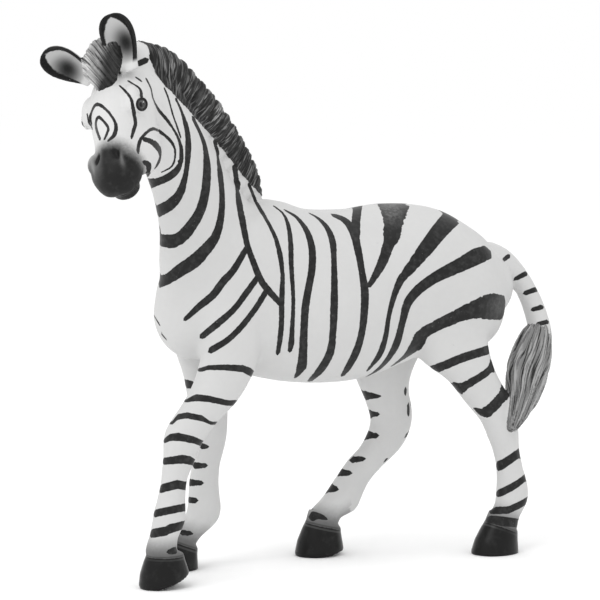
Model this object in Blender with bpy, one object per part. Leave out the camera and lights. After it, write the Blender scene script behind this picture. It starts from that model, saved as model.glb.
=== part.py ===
"""Zebra figurine: one cast animal, walking, with its head turned to its left.

The zebra faces -X, its left flank faces -Y, and it stands on the ground plane at z = 0.
Its pose and its modelling are shares of its own height, written as the
millimetres that they measure on a figure DRAWN_HEIGHT tall.
"""

import math

import bmesh
import bpy
import numpy as np
from mathutils import Matrix, Vector

# Driving sizes, in metres
FIGURE_HEIGHT = 0.110

# The height that the shares below are drawn for, in millimetres
DRAWN_HEIGHT = 110.0
SHARE = FIGURE_HEIGHT / DRAWN_HEIGHT

# Fineness of the modelling, and how far the joins of its forms are rubbed out
FLESH_GRAIN, TRIM_GRAIN = FIGURE_HEIGHT / 140, FIGURE_HEIGHT / 240
FLESH_PASSES, TRIM_PASSES = 50, 2

# Most triangles that the finished solid may keep
TRIANGLE_BUDGET = 9600

# A row is x, y, z, half-size ahead of the path, half-size behind it, half-width.
# Ahead of the path is up on the trunk and forwards on a leg.
TRUNK = [
    (47.6, 0, 59.5, 1.5, 2.0, 1.6),
    (46.6, 0, 58.8, 3.6, 4.6, 4.2),
    (44.0, 0, 57.4, 7.4, 8.8, 7.6),
    (39.0, 0, 56.6, 11.4, 11.6, 10.4),
    (33.0, 0, 56.0, 15.0, 13.2, 12.0),
    (26.0, 0, 55.5, 16.9, 14.4, 12.6),
    (19.0, 0, 54.8, 17.8, 15.8, 12.6),
    (12.0, 0, 54.0, 17.7, 17.0, 13.1),
    (5.0, 0, 53.8, 17.8, 17.2, 13.2),
    (-2.0, 0, 54.0, 18.2, 16.8, 12.6),
    (-8.5, 0, 54.8, 19.2, 16.2, 11.6),
    (-14.0, 0, 55.2, 18.0, 15.4, 10.6),
    (-19.5, 0, 55.0, 15.0, 13.8, 9.6),
    (-24.5, 0, 54.4, 10.5, 11.2, 8.4),
    (-28.4, 0, 54.0, 6.2, 7.0, 6.0),
    (-30.4, 0, 53.6, 2.4, 3.0, 2.8),
]
NECK = [
    (-16.0, 0, 57.0, 14.6, 13.6, 8.6),
    (-19.6, -0.2, 64.5, 12.4, 12.0, 7.5),
    (-22.6, -0.8, 71.2, 9.8, 8.9, 6.1),
    (-25.6, -2.2, 77.6, 8.0, 7.8, 5.3),
    (-29.2, -4.2, 84.2, 7.0, 7.6, 4.9),
    (-33.4, -6.6, 90.0, 6.4, 7.4, 4.8),
    (-38.0, -8.8, 94.6, 5.8, 6.4, 4.8),
    (-41.5, -9.8, 96.4, 4.6, 4.8, 4.2),
]

# The head's own frame: along the face from the poll, how far the centre lies under
# the face line, half-depth to the face, half-depth to the jaw, half-width.
HEAD_POLL = (-46.0, -11.0, 99.1)
HEAD_TURN, HEAD_TILT, HEAD_NOD = 40.0, 16.5, 54.0
HEAD = [
    (-2.6, 4.6, 2.6, 3.4, 3.2),
    (-0.6, 4.8, 4.4, 5.0, 5.2),
    (3.0, 5.0, 6.2, 6.8, 5.9),
    (7.0, 5.2, 7.1, 7.8, 5.9),
    (10.5, 5.2, 6.9, 8.2, 5.3),
    (14.0, 5.2, 6.2, 7.6, 4.4),
    (17.2, 5.0, 5.3, 5.8, 4.1),
    (20.0, 4.8, 4.6, 4.4, 4.4),
    (22.2, 4.9, 4.0, 3.8, 4.2),
    (24.0, 5.3, 3.0, 3.0, 3.4),
    (25.1, 5.7, 1.3, 1.4, 1.9),
]

LEFT_FORE = [
    (-13.5, -5.4, 63.0, 5.5, 5.0, 3.4),
    (-17.5, -6.4, 54.0, 7.6, 6.6, 4.2),
    (-19.6, -7.2, 46.0, 6.6, 7.0, 4.3),
    (-22.6, -7.7, 39.0, 5.2, 6.0, 3.9),
    (-26.2, -8.0, 33.6, 4.1, 4.1, 3.4),
    (-29.7, -8.0, 28.8, 3.9, 3.8, 3.4),
    (-30.5, -8.0, 25.4, 3.4, 3.3, 3.0),
    (-31.5, -8.0, 22.0, 2.75, 2.7, 2.3),
    (-32.2, -8.0, 18.4, 2.6, 2.8, 2.2),
    (-32.7, -8.0, 15.4, 2.9, 3.3, 2.5),
    (-33.1, -8.0, 13.0, 3.1, 3.5, 2.8),
    (-33.9, -8.0, 10.2, 2.8, 2.8, 2.5),
    (-34.6, -8.0, 7.8, 2.8, 3.3, 2.9),
    (-34.9, -8.0, 5.8, 2.9, 3.5, 3.1),
]
RIGHT_FORE = [
    (-12.0, 5.4, 63.0, 5.5, 5.0, 3.4),
    (-14.5, 6.4, 54.0, 7.4, 6.4, 4.2),
    (-15.6, 7.2, 46.0, 6.4, 6.2, 4.2),
    (-16.4, 7.7, 38.5, 5.2, 5.0, 3.8),
    (-16.6, 8.0, 32.6, 4.3, 4.2, 3.4),
    (-16.7, 8.0, 27.6, 4.1, 4.1, 3.4),
    (-16.8, 8.0, 24.2, 3.5, 3.6, 3.0),
    (-17.1, 8.0, 21.0, 3.1, 3.0, 2.4),
    (-17.3, 8.0, 17.0, 3.2, 2.8, 2.2),
    (-17.3, 8.0, 13.6, 2.9, 3.1, 2.4),
    (-17.6, 8.0, 10.8, 3.3, 3.4, 2.8),
    (-19.8, 8.0, 8.0, 2.9, 2.8, 2.5),
    (-22.2, 8.0, 6.2, 3.2, 3.3, 2.9),
    (-23.4, 8.0, 4.6, 3.4, 3.5, 3.1),
]
LEFT_HIND = [
    (33.5, -5.4, 61.0, 7.0, 7.4, 4.6),
    (32.5, -6.4, 53.0, 11.0, 10.9, 5.6),
    (31.6, -6.8, 46.0, 9.8, 9.4, 4.7),
    (34.6, -7.8, 39.6, 5.6, 5.4, 4.3),
    (37.8, -8.0, 34.2, 4.4, 4.5, 3.5),
    (41.0, -8.0, 29.4, 3.5, 4.6, 3.0),
    (42.9, -8.0, 25.4, 3.4, 3.8, 2.9),
    (44.0, -8.0, 21.4, 2.9, 2.9, 2.4),
    (44.8, -8.0, 17.4, 2.9, 3.0, 2.3),
    (45.3, -8.0, 14.0, 3.3, 3.6, 2.6),
    (45.3, -8.0, 11.4, 3.4, 3.8, 2.9),
    (44.2, -8.0, 8.6, 2.9, 3.2, 2.6),
    (43.2, -8.0, 6.8, 3.0, 3.4, 3.0),
    (42.8, -8.0, 4.8, 3.1, 3.6, 3.2),
]
RIGHT_HIND = [
    (31.0, 5.4, 61.0, 7.0, 6.0, 4.6),
    (28.0, 6.4, 53.0, 11.0, 9.6, 5.6),
    (24.8, 7.2, 45.6, 9.6, 9.2, 5.2),
    (23.8, 7.8, 38.4, 7.2, 7.2, 4.3),
    (24.6, 8.0, 32.4, 5.0, 5.2, 3.5),
    (25.8, 8.0, 27.4, 4.8, 4.9, 3.1),
    (24.4, 8.0, 23.4, 4.2, 4.4, 3.0),
    (21.4, 8.0, 19.6, 3.5, 3.2, 2.5),
    (18.4, 8.0, 16.4, 3.9, 2.8, 2.3),
    (15.8, 8.0, 13.6, 3.6, 3.6, 2.6),
    (13.8, 8.0, 11.4, 3.3, 4.3, 2.9),
    (11.4, 8.0, 9.2, 2.9, 2.8, 2.6),
    (9.8, 8.0, 7.4, 3.3, 3.4, 3.0),
    (9.2, 8.0, 5.4, 3.5, 3.6, 3.2),
]

TAIL = [
    (43.0, 0, 62.0, 2.4, 2.4, 2.2),
    (47.2, 0, 60.6, 2.3, 2.3, 2.2),
    (50.6, -0.3, 57.6, 2.2, 2.2, 2.2),
    (53.0, -1.0, 53.8, 2.2, 2.2, 2.2),
    (54.6, -2.0, 49.6, 2.3, 2.3, 2.3),
    (55.2, -3.2, 45.2, 2.5, 2.5, 2.5),
    (54.8, -4.0, 42.0, 2.4, 2.4, 2.4),
]
TUFT = [
    (55.3, -3.1, 47.4, 1.3, 1.3, 1.3),
    (54.8, -3.4, 45.2, 3.2, 2.9, 2.9),
    (53.4, -4.0, 42.2, 4.4, 4.2, 3.6),
    (52.0, -4.9, 39.2, 5.0, 4.7, 3.9),
    (50.2, -6.1, 36.2, 5.2, 4.8, 3.8),
    (48.1, -7.7, 33.2, 4.5, 4.4, 3.3),
    (46.0, -9.4, 30.6, 3.3, 3.4, 2.6),
    (44.2, -10.8, 28.0, 2.2, 2.3, 1.9),
    (43.0, -11.7, 25.8, 0.9, 0.9, 0.9),
]
TUFT_STRANDS, TUFT_GROOVE = 10, 0.24

# Along the crest, from the withers to the poll: x, y, z, height over the path,
# depth under it, half-thickness.
MANE = [
    (-9.6, 0, 73.4, 1.2, 2.4, 1.2),
    (-12.6, -0.2, 77.0, 3.8, 5.4, 2.5),
    (-16.4, -0.7, 81.4, 5.0, 6.8, 3.1),
    (-20.3, -1.9, 85.8, 5.4, 7.4, 3.3),
    (-24.4, -3.6, 90.2, 5.4, 7.6, 3.4),
    (-28.7, -5.6, 94.4, 4.9, 7.6, 3.4),
    (-33.0, -7.5, 97.8, 4.8, 7.2, 3.3),
    (-36.4, -8.8, 99.6, 4.6, 6.2, 3.1),
    (-38.0, -9.2, 100.2, 3.6, 4.8, 2.4),
]
MANE_LOCKS, MANE_GROOVE = 16, 0.2

# In the head's frame: along the face, over the face line, half-height, half-depth,
# half-width.
FORELOCK = [
    (-5.4, -0.4, 2.4, 2.4, 2.8),
    (-2.8, 2.0, 3.2, 2.6, 3.8),
    (0.4, 3.0, 2.6, 2.8, 4.1),
    (3.0, 2.4, 1.9, 2.4, 3.3),
    (5.2, 1.4, 1.0, 1.8, 1.6),
]
FORELOCK_STRANDS, FORELOCK_GROOVE = 8, 0.22

# In the head's frame, from root to tip: along the face, to the left, over the face.
LEFT_EAR = ((1.5, 4.4, 0.0), (-5.4, 4.9, 8.6))
RIGHT_EAR = ((0.0, -4.2, -0.6), (-1.9, -9.9, 8.0))
# Share of the ear's length, half-width, depth of the back, height of the hollow
EAR = [
    (0.0, 1.7, 1.9, 1.4),
    (0.14, 2.0, 2.2, 0.9),
    (0.30, 2.6, 2.4, -0.6),
    (0.50, 3.15, 2.3, -1.3),
    (0.68, 3.3, 2.0, -1.2),
    (0.84, 2.9, 1.6, -0.7),
    (0.95, 2.0, 1.0, -0.1),
    (1.0, 0.9, 0.5, 0.3),
]

# Toe x, y, heel lift in degrees, turn in degrees of each hoof
HOOVES = {
    "left_fore": (-38.7, -8.0, 17.0, 6.0),
    "right_fore": (-30.0, 8.0, 0.0, -4.0),
    "left_hind": (36.4, -8.0, 0.0, 4.0),
    "right_hind": (3.4, 8.0, 8.0, -4.0),
}
# Height share, half-length, half-width, how far the ring sits behind the toe
HOOF_LENGTH, HOOF_TOE_HEIGHT, HOOF_HEEL_HEIGHT = 10.4, 7.2, 3.8
HOOF_RINGS = [
    (-0.12, 0.98, 0.98, 0.02),
    (0.06, 1.0, 1.0, 0.0),
    (0.4, 0.91, 0.94, 0.08),
    (0.75, 0.76, 0.83, 0.22),
    (0.95, 0.67, 0.75, 0.33),
    (1.1, 0.62, 0.7, 0.36),
    (1.25, 0.52, 0.6, 0.36),
]
HOOF_WIDTH = 8.6


def smooth_rows(rows, between):
    """Rows read from a Catmull-Rom curve through the given rows."""
    rows = np.array(rows, float)
    padded = np.vstack([2 * rows[0] - rows[1], rows, 2 * rows[-1] - rows[-2]])
    found = []
    for k in range(1, len(rows)):
        before, start, end, after = padded[k - 1 : k + 3]
        for step in range(between):
            t = step / between
            found.append(
                0.5
                * (
                    2 * start
                    + (end - before) * t
                    + (2 * before - 5 * start + 4 * end - after) * t * t
                    + (3 * start - before - 3 * end + after) * t**3
                )
            )
    found.append(rows[-1])
    return np.array(found)


def tangents(points):
    """Unit directions along a path of points."""
    steps = np.gradient(points, axis=0)
    return steps / np.linalg.norm(steps, axis=1)[:, None]


def round_section(angle, ahead, behind, half_width):
    """A point of an oval ring whose two halves may have their own depths."""
    depth = ahead if math.cos(angle) > 0 else behind
    return depth * math.cos(angle), half_width * math.sin(angle)


def ring(mesh, sides, place):
    """A closed ring of edges, with each corner put where place(angle) says."""
    corners = bmesh.ops.create_circle(mesh, segments=sides)["verts"]
    for k, corner in enumerate(corners):
        corner.co = place(2 * math.pi * k / sides)
    return list({edge for corner in corners for edge in corner.link_edges})


def skin_over(mesh, rings):
    """Bridges each ring to the next and caps both ends."""
    for first, second in zip(rings, rings[1:]):
        bmesh.ops.bridge_loops(mesh, edges=first + second)
    for end in (rings[0], rings[-1]):
        bmesh.ops.contextual_create(mesh, geom=end)


def loft(mesh, rows, sides=20, between=3, shape=round_section, right=(0, 1, 0)):
    """A closed body round a path; shape gives each ring's point from its angle."""
    rows = smooth_rows(rows, between)
    right = Vector(right)
    rings = []
    for k, (row, along) in enumerate(zip(rows, tangents(rows[:, :3]))):
        along = Vector(along)
        side = (right - along * right.dot(along)).normalized()
        ahead = side.cross(along)
        centre = Vector(row[:3])

        def place(angle):
            out, across = shape(angle, *row[3:])
            return centre + ahead * out + side * across

        rings.append(ring(mesh, sides, place))
    skin_over(mesh, rings)


def grooved(strands, depth, twist):
    """A ring shape with shallow grooves between strands that run along the path."""

    def shape(angle, ahead, behind, half_width):
        out, across = round_section(angle, ahead, behind, half_width)
        swell = 1 - depth * (1 - abs(math.sin(angle * strands / 2 + twist)))
        return out * swell, across * swell

    return shape


def head_axes():
    """The head's directions: down the face, to its left, and out of the forehead."""
    turn, tilt, nod = (math.radians(a) for a in (HEAD_TURN, HEAD_TILT, HEAD_NOD))
    forward = Vector((-math.cos(turn), -math.sin(turn), 0))
    left = Vector((math.sin(turn), -math.cos(turn), 0))
    up = Vector((0, 0, 1))
    tilted_left = math.cos(tilt) * left + math.sin(tilt) * up
    tilted_up = math.cos(tilt) * up - math.sin(tilt) * left
    down_face = math.cos(nod) * forward - math.sin(nod) * tilted_up
    outward = math.sin(nod) * forward + math.cos(nod) * tilted_up
    return down_face, tilted_left, outward


def in_head(along, left, over):
    """A place in the figure from one in the head's own frame."""
    down_face, leftward, outward = head_axes()
    return Vector(HEAD_POLL) + along * down_face + left * leftward + over * outward


def ball(mesh, centre, sizes, axes=None):
    """An oval lump: its half-sizes lie along the given axes, or along X, Y and Z."""
    columns = axes or (Vector((1, 0, 0)), Vector((0, 1, 0)), Vector((0, 0, 1)))
    turn = Matrix([list(c) for c in columns]).transposed().to_4x4()
    place = Matrix.Translation(centre) @ turn @ Matrix.Diagonal((*sizes, 1))
    bmesh.ops.create_icosphere(mesh, subdivisions=3, radius=1, matrix=place)


def add_trunk(mesh):
    """Barrel, rump and chest, with the muscle masses of shoulder and haunch."""
    loft(mesh, TRUNK, sides=28)
    ball(mesh, Vector((-22.8, 0, 52.0)), (8.8, 8.0, 9.4))
    for side in (-1, 1):
        ball(mesh, Vector((-13.0, side * 5.2, 58.5)), (8.0, 5.2, 13.0))
        ball(mesh, Vector((33.0, side * 5.8, 54.0)), (10.6, 6.4, 13.0))
        ball(mesh, Vector((38.0, side * 5.2, 52.0)), (6.8, 4.8, 9.4))


def add_neck(mesh):
    """The neck, from inside the chest to the poll, bending to the left."""
    loft(mesh, NECK, sides=24)
    ball(mesh, Vector((-39.0, -9.5, 100.6)), (4.4, 4.0, 4.0))


def add_skull(mesh):
    """Skull, jaw, cheeks and muzzle."""
    axes = head_axes()
    rows = [
        (*in_head(along, 0, -under), face, jaw, half_width)
        for along, under, face, jaw, half_width in HEAD
    ]
    loft(mesh, rows, sides=24, right=-axes[1])
    for side in (-1, 1):
        ball(mesh, in_head(12.0, side * 2.9, -8.6), (6.4, 2.6, 5.2), axes)
        ball(mesh, in_head(20.4, side * 2.6, -4.6), (3.4, 2.3, 3.5), axes)


def add_face(mesh):
    """Brows and eyeballs, the flares of the nostrils, and the lower lip."""
    axes = head_axes()
    for side in (-1, 1):
        ball(mesh, in_head(7.6, side * 4.2, -0.9), (3.3, 1.7, 1.7), axes)
        ball(mesh, in_head(8.6, side * 5.05, -1.75), (1.4, 1.4, 1.4), axes)
        ball(mesh, in_head(19.4, side * 3.1, -2.3), (2.2, 1.6, 1.7), axes)
    ball(mesh, in_head(21.9, 0, -8.0), (2.3, 2.8, 1.7), axes)


def ear_shape(angle, half_width, back, hollow):
    """A leaf-like ring: a round back, thick edges, and a hollow at the front."""
    rim = 0.5
    if math.cos(angle) < 0:
        return back * math.cos(angle), half_width * math.sin(angle)
    across = math.sin(angle)
    lip = rim * (1 - abs(2 * abs(across) - 1)) if abs(across) > 0.5 else 0
    dip = hollow * (1 - across * across) ** 0.5
    return dip + lip, half_width * across


def add_ear(mesh, root, tip):
    """One cupped ear, open towards the front of the face."""
    start, end = in_head(*root), in_head(*tip)
    along = (end - start).normalized()
    down_face, leftward, outward = head_axes()
    side_sign = 1 if root[1] > 0 else -1
    facing = outward * 0.75 + down_face * 0.6 + leftward * 0.2 * side_sign
    facing = (facing - along * facing.dot(along)).normalized()
    right = along.cross(facing)
    rows = [
        (*(start + (end - start) * share), half_width, back, hollow)
        for share, half_width, back, hollow in EAR
    ]
    loft(mesh, rows, sides=24, shape=ear_shape, right=right)


def add_hoof(mesh, hoof):
    """One hoof, tilted on its toe where the heel is lifted."""
    toe_x, toe_y, lift, turn = HOOVES[hoof]
    half = HOOF_LENGTH / 2
    place = (
        Matrix.Translation((toe_x, toe_y, 0))
        @ Matrix.Rotation(math.radians(turn), 4, "Z")
        @ Matrix.Rotation(math.radians(-lift), 4, "Y")
    )
    rings = []
    for height, length, width, setback in HOOF_RINGS:

        def corner(angle):
            ahead = math.cos(angle)
            rise = (HOOF_TOE_HEIGHT + HOOF_HEEL_HEIGHT) / 2
            rise += (HOOF_TOE_HEIGHT - HOOF_HEEL_HEIGHT) / 2 * ahead
            x = half * (1 - length * ahead) + setback * half
            y = HOOF_WIDTH / 2 * width * math.sin(angle)
            return place @ Vector((x, y, height * rise))

        rings.append(ring(mesh, 20, corner))
    skin_over(mesh, rings)


def add_tuft(mesh):
    """The grooved tuft of the tail, which reaches down to the left hock."""
    loft(mesh, TUFT, sides=54, between=4, shape=grooved(TUFT_STRANDS, TUFT_GROOVE, 0.3))


def wedge_section(angle, ahead, behind, half_width):
    """A point of a ring that is thin at its crest and spreads towards its foot."""
    out, across = round_section(angle, ahead, behind, half_width)
    return out, across * (1 - 0.35 * math.cos(angle))


def add_mane(mesh):
    """The upright mane: one wall of hair, cut into locks across its length."""
    rows = smooth_rows(MANE, 10)
    for k, row in enumerate(rows):
        lock = abs(math.sin(math.pi * MANE_LOCKS * k / (len(rows) - 1)))
        groove = 1 - MANE_GROOVE * (1 - lock) ** 1.5
        row[3] *= 0.5 + groove / 2
        row[5] *= groove
    loft(mesh, rows, sides=28, between=1, shape=wedge_section)


def add_forelock(mesh):
    """The tuft between the ears, lying forward on the brow."""
    rows = [
        (*in_head(along, 0, over), height, depth, half_width)
        for along, over, height, depth, half_width in FORELOCK
    ]
    shape = grooved(FORELOCK_STRANDS, FORELOCK_GROOVE, 0.0)
    loft(mesh, rows, sides=42, shape=shape, right=-head_axes()[1])


def body_of(makers, name):
    """The forms that the makers add, at real size, in one mesh."""
    mesh = bmesh.new()
    for maker in makers:
        maker(mesh)
    bmesh.ops.recalc_face_normals(mesh, faces=mesh.faces)
    bmesh.ops.scale(mesh, vec=(SHARE, SHARE, SHARE), verts=mesh.verts)
    data = bpy.data.meshes.new(name)
    mesh.to_mesh(data)
    mesh.free()
    return data


def add_legs(mesh):
    """The four legs, each from inside the trunk down into its hoof."""
    for rows in (LEFT_FORE, RIGHT_FORE, LEFT_HIND, RIGHT_HIND):
        loft(mesh, rows, sides=16)


def add_dock(mesh):
    """The bare upper part of the tail."""
    loft(mesh, TAIL, sides=14)


def add_ears(mesh):
    """Both ears."""
    add_ear(mesh, *LEFT_EAR)
    add_ear(mesh, *RIGHT_EAR)


def add_hooves(mesh):
    """All four hooves."""
    for hoof in HOOVES:
        add_hoof(mesh, hoof)


def evaluated(name, data, modifiers):
    """The mesh that a stack of modifiers makes of another."""
    holder = bpy.data.objects.new(name, data)
    bpy.context.scene.collection.objects.link(holder)
    for kind, settings in modifiers:
        modifier = holder.modifiers.new(kind.lower(), kind)
        for setting, value in settings.items():
            setattr(modifier, setting, value)
    scene_now = bpy.context.evaluated_depsgraph_get()
    result = bpy.data.meshes.new_from_object(holder.evaluated_get(scene_now))
    bpy.data.objects.remove(holder)
    return result


def kneaded(data, grain, passes):
    """One skin round all the forms, its joins rubbed out without shrinking it."""
    settings = {"mode": "VOXEL", "voxel_size": grain}
    skin = evaluated("kneaded", data, [("REMESH", settings)])
    count = len(skin.vertices)
    places = np.empty(count * 3, np.float32)
    skin.vertices.foreach_get("co", places)
    places = places.reshape(-1, 3).astype(float)
    pairs = np.empty(len(skin.edges) * 2, np.int32)
    skin.edges.foreach_get("vertices", pairs)
    pairs = pairs.reshape(-1, 2)
    ends = np.concatenate([pairs[:, 0], pairs[:, 1]])
    others = np.concatenate([pairs[:, 1], pairs[:, 0]])
    neighbours = np.bincount(ends, minlength=count)[:, None]
    for turn in range(2 * passes):
        total = [np.bincount(ends, places[others, k], count) for k in range(3)]
        offset = np.stack(total, 1) / neighbours - places
        places += offset * (0.5 if turn % 2 == 0 else -0.51)
    skin.vertices.foreach_set("co", places.astype(np.float32).ravel())
    return skin


def joined(parts, name):
    """Several meshes in one."""
    mesh = bmesh.new()
    for part in parts:
        mesh.from_mesh(part)
    data = bpy.data.meshes.new(name)
    mesh.to_mesh(data)
    mesh.free()
    return data


def flat_soled(data):
    """The mesh cut level at the ground, with its soles closed."""
    mesh = bmesh.new()
    mesh.from_mesh(data)
    everything = mesh.verts[:] + mesh.edges[:] + mesh.faces[:]
    cut = bmesh.ops.bisect_plane(
        mesh,
        geom=everything,
        dist=1e-7,
        plane_co=(0, 0, 0),
        plane_no=(0, 0, 1),
        clear_inner=True,
    )
    rims = [e for e in cut["geom_cut"] if isinstance(e, bmesh.types.BMEdge)]
    bmesh.ops.edgeloop_fill(mesh, edges=rims)
    bmesh.ops.triangulate(mesh, faces=mesh.faces[:])
    bmesh.ops.recalc_face_normals(mesh, faces=mesh.faces)
    mesh.to_mesh(data)
    mesh.free()


def stand_on_origin(data):
    """Moves the mesh so that the middle of its outer box stands on the origin."""
    places = np.empty(len(data.vertices) * 3, np.float32)
    data.vertices.foreach_get("co", places)
    places = places.reshape(-1, 3)
    low, high = places.min(axis=0), places.max(axis=0)
    middle = (low + high) / 2
    data.transform(Matrix.Translation((-middle[0], -middle[1], -low[2])))


def painted_plastic():
    """The white that most of the animal is painted."""
    white = bpy.data.materials.new("painted plastic")
    white.use_nodes = True
    shader = white.node_tree.nodes["Principled BSDF"]
    shader.inputs["Base Color"].default_value = (0.80, 0.80, 0.79, 1)
    shader.inputs["Roughness"].default_value = 0.5
    return white


def main():
    for old in list(bpy.data.objects):
        bpy.data.objects.remove(old)
    flesh = body_of([add_trunk, add_neck, add_skull, add_legs, add_dock], "flesh")
    flesh = kneaded(flesh, FLESH_GRAIN, FLESH_PASSES)
    trim = body_of(
        [add_face, add_ears, add_mane, add_forelock, add_tuft, add_hooves], "trim"
    )
    skin = kneaded(joined([flesh, trim], "clay"), TRIM_GRAIN, TRIM_PASSES)
    ratio = TRIANGLE_BUDGET / (2 * len(skin.polygons))
    body = evaluated("thinned", skin, [("DECIMATE", {"ratio": ratio})])
    flat_soled(body)
    stand_on_origin(body)
    body.name = "zebra"
    body.shade_smooth()
    body.materials.append(painted_plastic())
    zebra = bpy.data.objects.new("zebra", body)
    bpy.context.scene.collection.objects.link(zebra)


main()
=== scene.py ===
# %% [markdown]
# # A cast and painted zebra
# The real object is a solid toy animal. It was sculpted in clay, cast in one piece of
# plastic and then painted by hand, so this lesson follows the same order: clay forms,
# kneading, carving, paint. The packed model is loaded first, because it fixes the
# origin, the size and the direction that everything here has to share.

# %% Load the frame
import math

import bmesh
import bpy
import numpy as np
from mathutils import Matrix, Vector, noise
from mathutils.bvhtree import BVHTree


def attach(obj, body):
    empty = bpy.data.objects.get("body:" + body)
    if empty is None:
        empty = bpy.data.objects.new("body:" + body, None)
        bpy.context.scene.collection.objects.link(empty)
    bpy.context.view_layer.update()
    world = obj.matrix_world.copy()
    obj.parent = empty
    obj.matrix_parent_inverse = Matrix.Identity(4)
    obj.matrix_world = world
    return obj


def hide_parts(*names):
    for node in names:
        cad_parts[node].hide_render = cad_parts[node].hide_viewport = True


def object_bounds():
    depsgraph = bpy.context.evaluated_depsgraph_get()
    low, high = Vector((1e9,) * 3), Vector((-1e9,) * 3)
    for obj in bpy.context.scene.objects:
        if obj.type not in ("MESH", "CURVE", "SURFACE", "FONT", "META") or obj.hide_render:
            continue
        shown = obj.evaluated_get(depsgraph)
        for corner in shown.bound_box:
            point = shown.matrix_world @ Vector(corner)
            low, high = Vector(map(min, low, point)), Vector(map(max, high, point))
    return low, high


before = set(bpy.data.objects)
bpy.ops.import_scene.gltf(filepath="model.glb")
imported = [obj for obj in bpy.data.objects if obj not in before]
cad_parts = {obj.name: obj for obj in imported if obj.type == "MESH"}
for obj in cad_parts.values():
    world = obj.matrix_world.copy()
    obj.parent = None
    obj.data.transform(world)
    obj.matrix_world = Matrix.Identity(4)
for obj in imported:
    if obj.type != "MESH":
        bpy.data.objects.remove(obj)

cad_box = [list(corner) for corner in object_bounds()]
print("CAD box in mm:", [[round(1000 * v, 1) for v in corner] for corner in cad_box])

# %% [markdown]
# ## The camera
# The picture was taken from the front left, almost level with the animal's shoulder,
# through a long lens. A long lens could be faked by an orthographic camera, but the
# near foreleg is visibly larger than the far one, so a real 150 mm lens half a metre
# away is used. The clay is drawn in millimetres, and its origin lies a little off the
# origin of the frame: DRAWING_SHIFT joins the two.

# %% Camera
DRAWING_SHIFT = (-0.07, 6.025, 0.0)
AIM, AZIMUTH, ELEVATION, DISTANCE = Vector((0, 0, 53.5)), -28.0, 5.0, 500.0
LENS, SENSOR, PICTURE = 150.0, 36.0, 600.0
PIXELS = PICTURE * LENS / SENSOR



def direction(azimuth, elevation):
    """The way from the animal to a place at these angles, in degrees; 0, 0 is its left."""
    turn, lift = math.radians(azimuth), math.radians(elevation)
    return Vector((math.sin(turn) * math.cos(lift), -math.cos(turn) * math.cos(lift), math.sin(lift)))


BACK = direction(AZIMUTH, ELEVATION)
RIGHT = Vector((math.cos(math.radians(AZIMUTH)), math.sin(math.radians(AZIMUTH)), 0))
UP = BACK.cross(RIGHT)
EYE = AIM + BACK * DISTANCE

camera = bpy.data.objects.new("camera", bpy.data.cameras.new("camera"))
bpy.context.scene.collection.objects.link(camera)
camera.data.lens, camera.data.sensor_width = LENS, SENSOR
camera.location = (EYE + Vector(DRAWING_SHIFT)) / 1000
camera.rotation_mode = "QUATERNION"
camera.rotation_quaternion = (-BACK).to_track_quat("-Z", "Y")
camera.data.clip_start, camera.data.clip_end = 0.01, 20
bpy.context.scene.camera = camera
print("camera at", [round(v, 4) for v in camera.location])

# %% [markdown]
# ## Floor and light
# A toy is photographed on white, under large soft lamps. One broad key lamp from the
# front left models the forms, a weaker one from the right opens the shadows, and the
# white surroundings do the rest. The floor is pale, so that it doesn't ask for
# attention.

# %% Floor and lights
bpy.context.scene.view_settings.view_transform = "Standard"
world = bpy.data.worlds.new("studio")
world.use_nodes = True
surroundings = world.node_tree.nodes["Background"].inputs
surroundings["Color"].default_value = (1, 1, 1, 1)
surroundings["Strength"].default_value = 1.0
bpy.context.scene.world = world

floor_mesh = bmesh.new()
bmesh.ops.create_grid(floor_mesh, x_segments=1, y_segments=1, size=6)
bmesh.ops.translate(floor_mesh, vec=(0, 0, -0.0001), verts=floor_mesh.verts)
floor_data = bpy.data.meshes.new("floor")
floor_mesh.to_mesh(floor_data)
floor_mesh.free()
floor = bpy.data.objects.new("floor", floor_data)
bpy.context.scene.collection.objects.link(floor)
pale = bpy.data.materials.new("pale floor")
pale.use_nodes = True
matt = pale.node_tree.nodes["Principled BSDF"].inputs
matt["Base Color"].default_value = (1, 1, 1, 1)
matt["Roughness"].default_value = 1.0
matt["Specular IOR Level"].default_value = 0.0
floor_data.materials.append(pale)


def lamp(name, azimuth, elevation, distance, size, power):
    """A square soft lamp that shines on the middle of the animal."""
    out = direction(azimuth, elevation)
    data = bpy.data.lights.new(name, "AREA")
    data.size, data.energy = size, power
    holder = bpy.data.objects.new(name, data)
    holder.location = Vector((0, 0, 0.055)) + out * distance
    holder.rotation_euler = out.to_track_quat("Z", "Y").to_euler()
    bpy.context.scene.collection.objects.link(holder)


lamp("key lamp", -70, 50, 0.9, 0.6, 2.4)
lamp("top lamp", 60, 70, 1.0, 0.8, 0.8)

# %% [markdown]
# ## Clay by lofting
# Each soft form is a row of oval rings bridged into a skin, which is how a
# sculptor builds a wire figure up with rolls of clay. A subdivided box would also work,
# but it takes longer to place, and rows of numbers can be read straight off the side
# view. A Catmull-Rom curve fills in rings between the rows, so few rows are needed.

# %% Rings and lofts
def smooth_rows(rows, between):
    """Rows read from a Catmull-Rom curve through the given rows."""
    rows = np.array(rows, float)
    padded = np.vstack([2 * rows[0] - rows[1], rows, 2 * rows[-1] - rows[-2]])
    found = []
    for k in range(1, len(rows)):
        before, start, end, after = padded[k - 1 : k + 3]
        for t in np.arange(between) / between:
            bend = (2 * before - 5 * start + 4 * end - after) * t * t
            swing = (3 * start - before - 3 * end + after) * t**3
            found.append(0.5 * (2 * start + (end - before) * t + bend + swing))
    found.append(rows[-1])
    return np.array(found)


def tangents(points):
    """Unit directions along a path of points."""
    steps = np.gradient(points, axis=0)
    return steps / np.linalg.norm(steps, axis=1)[:, None]


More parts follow.
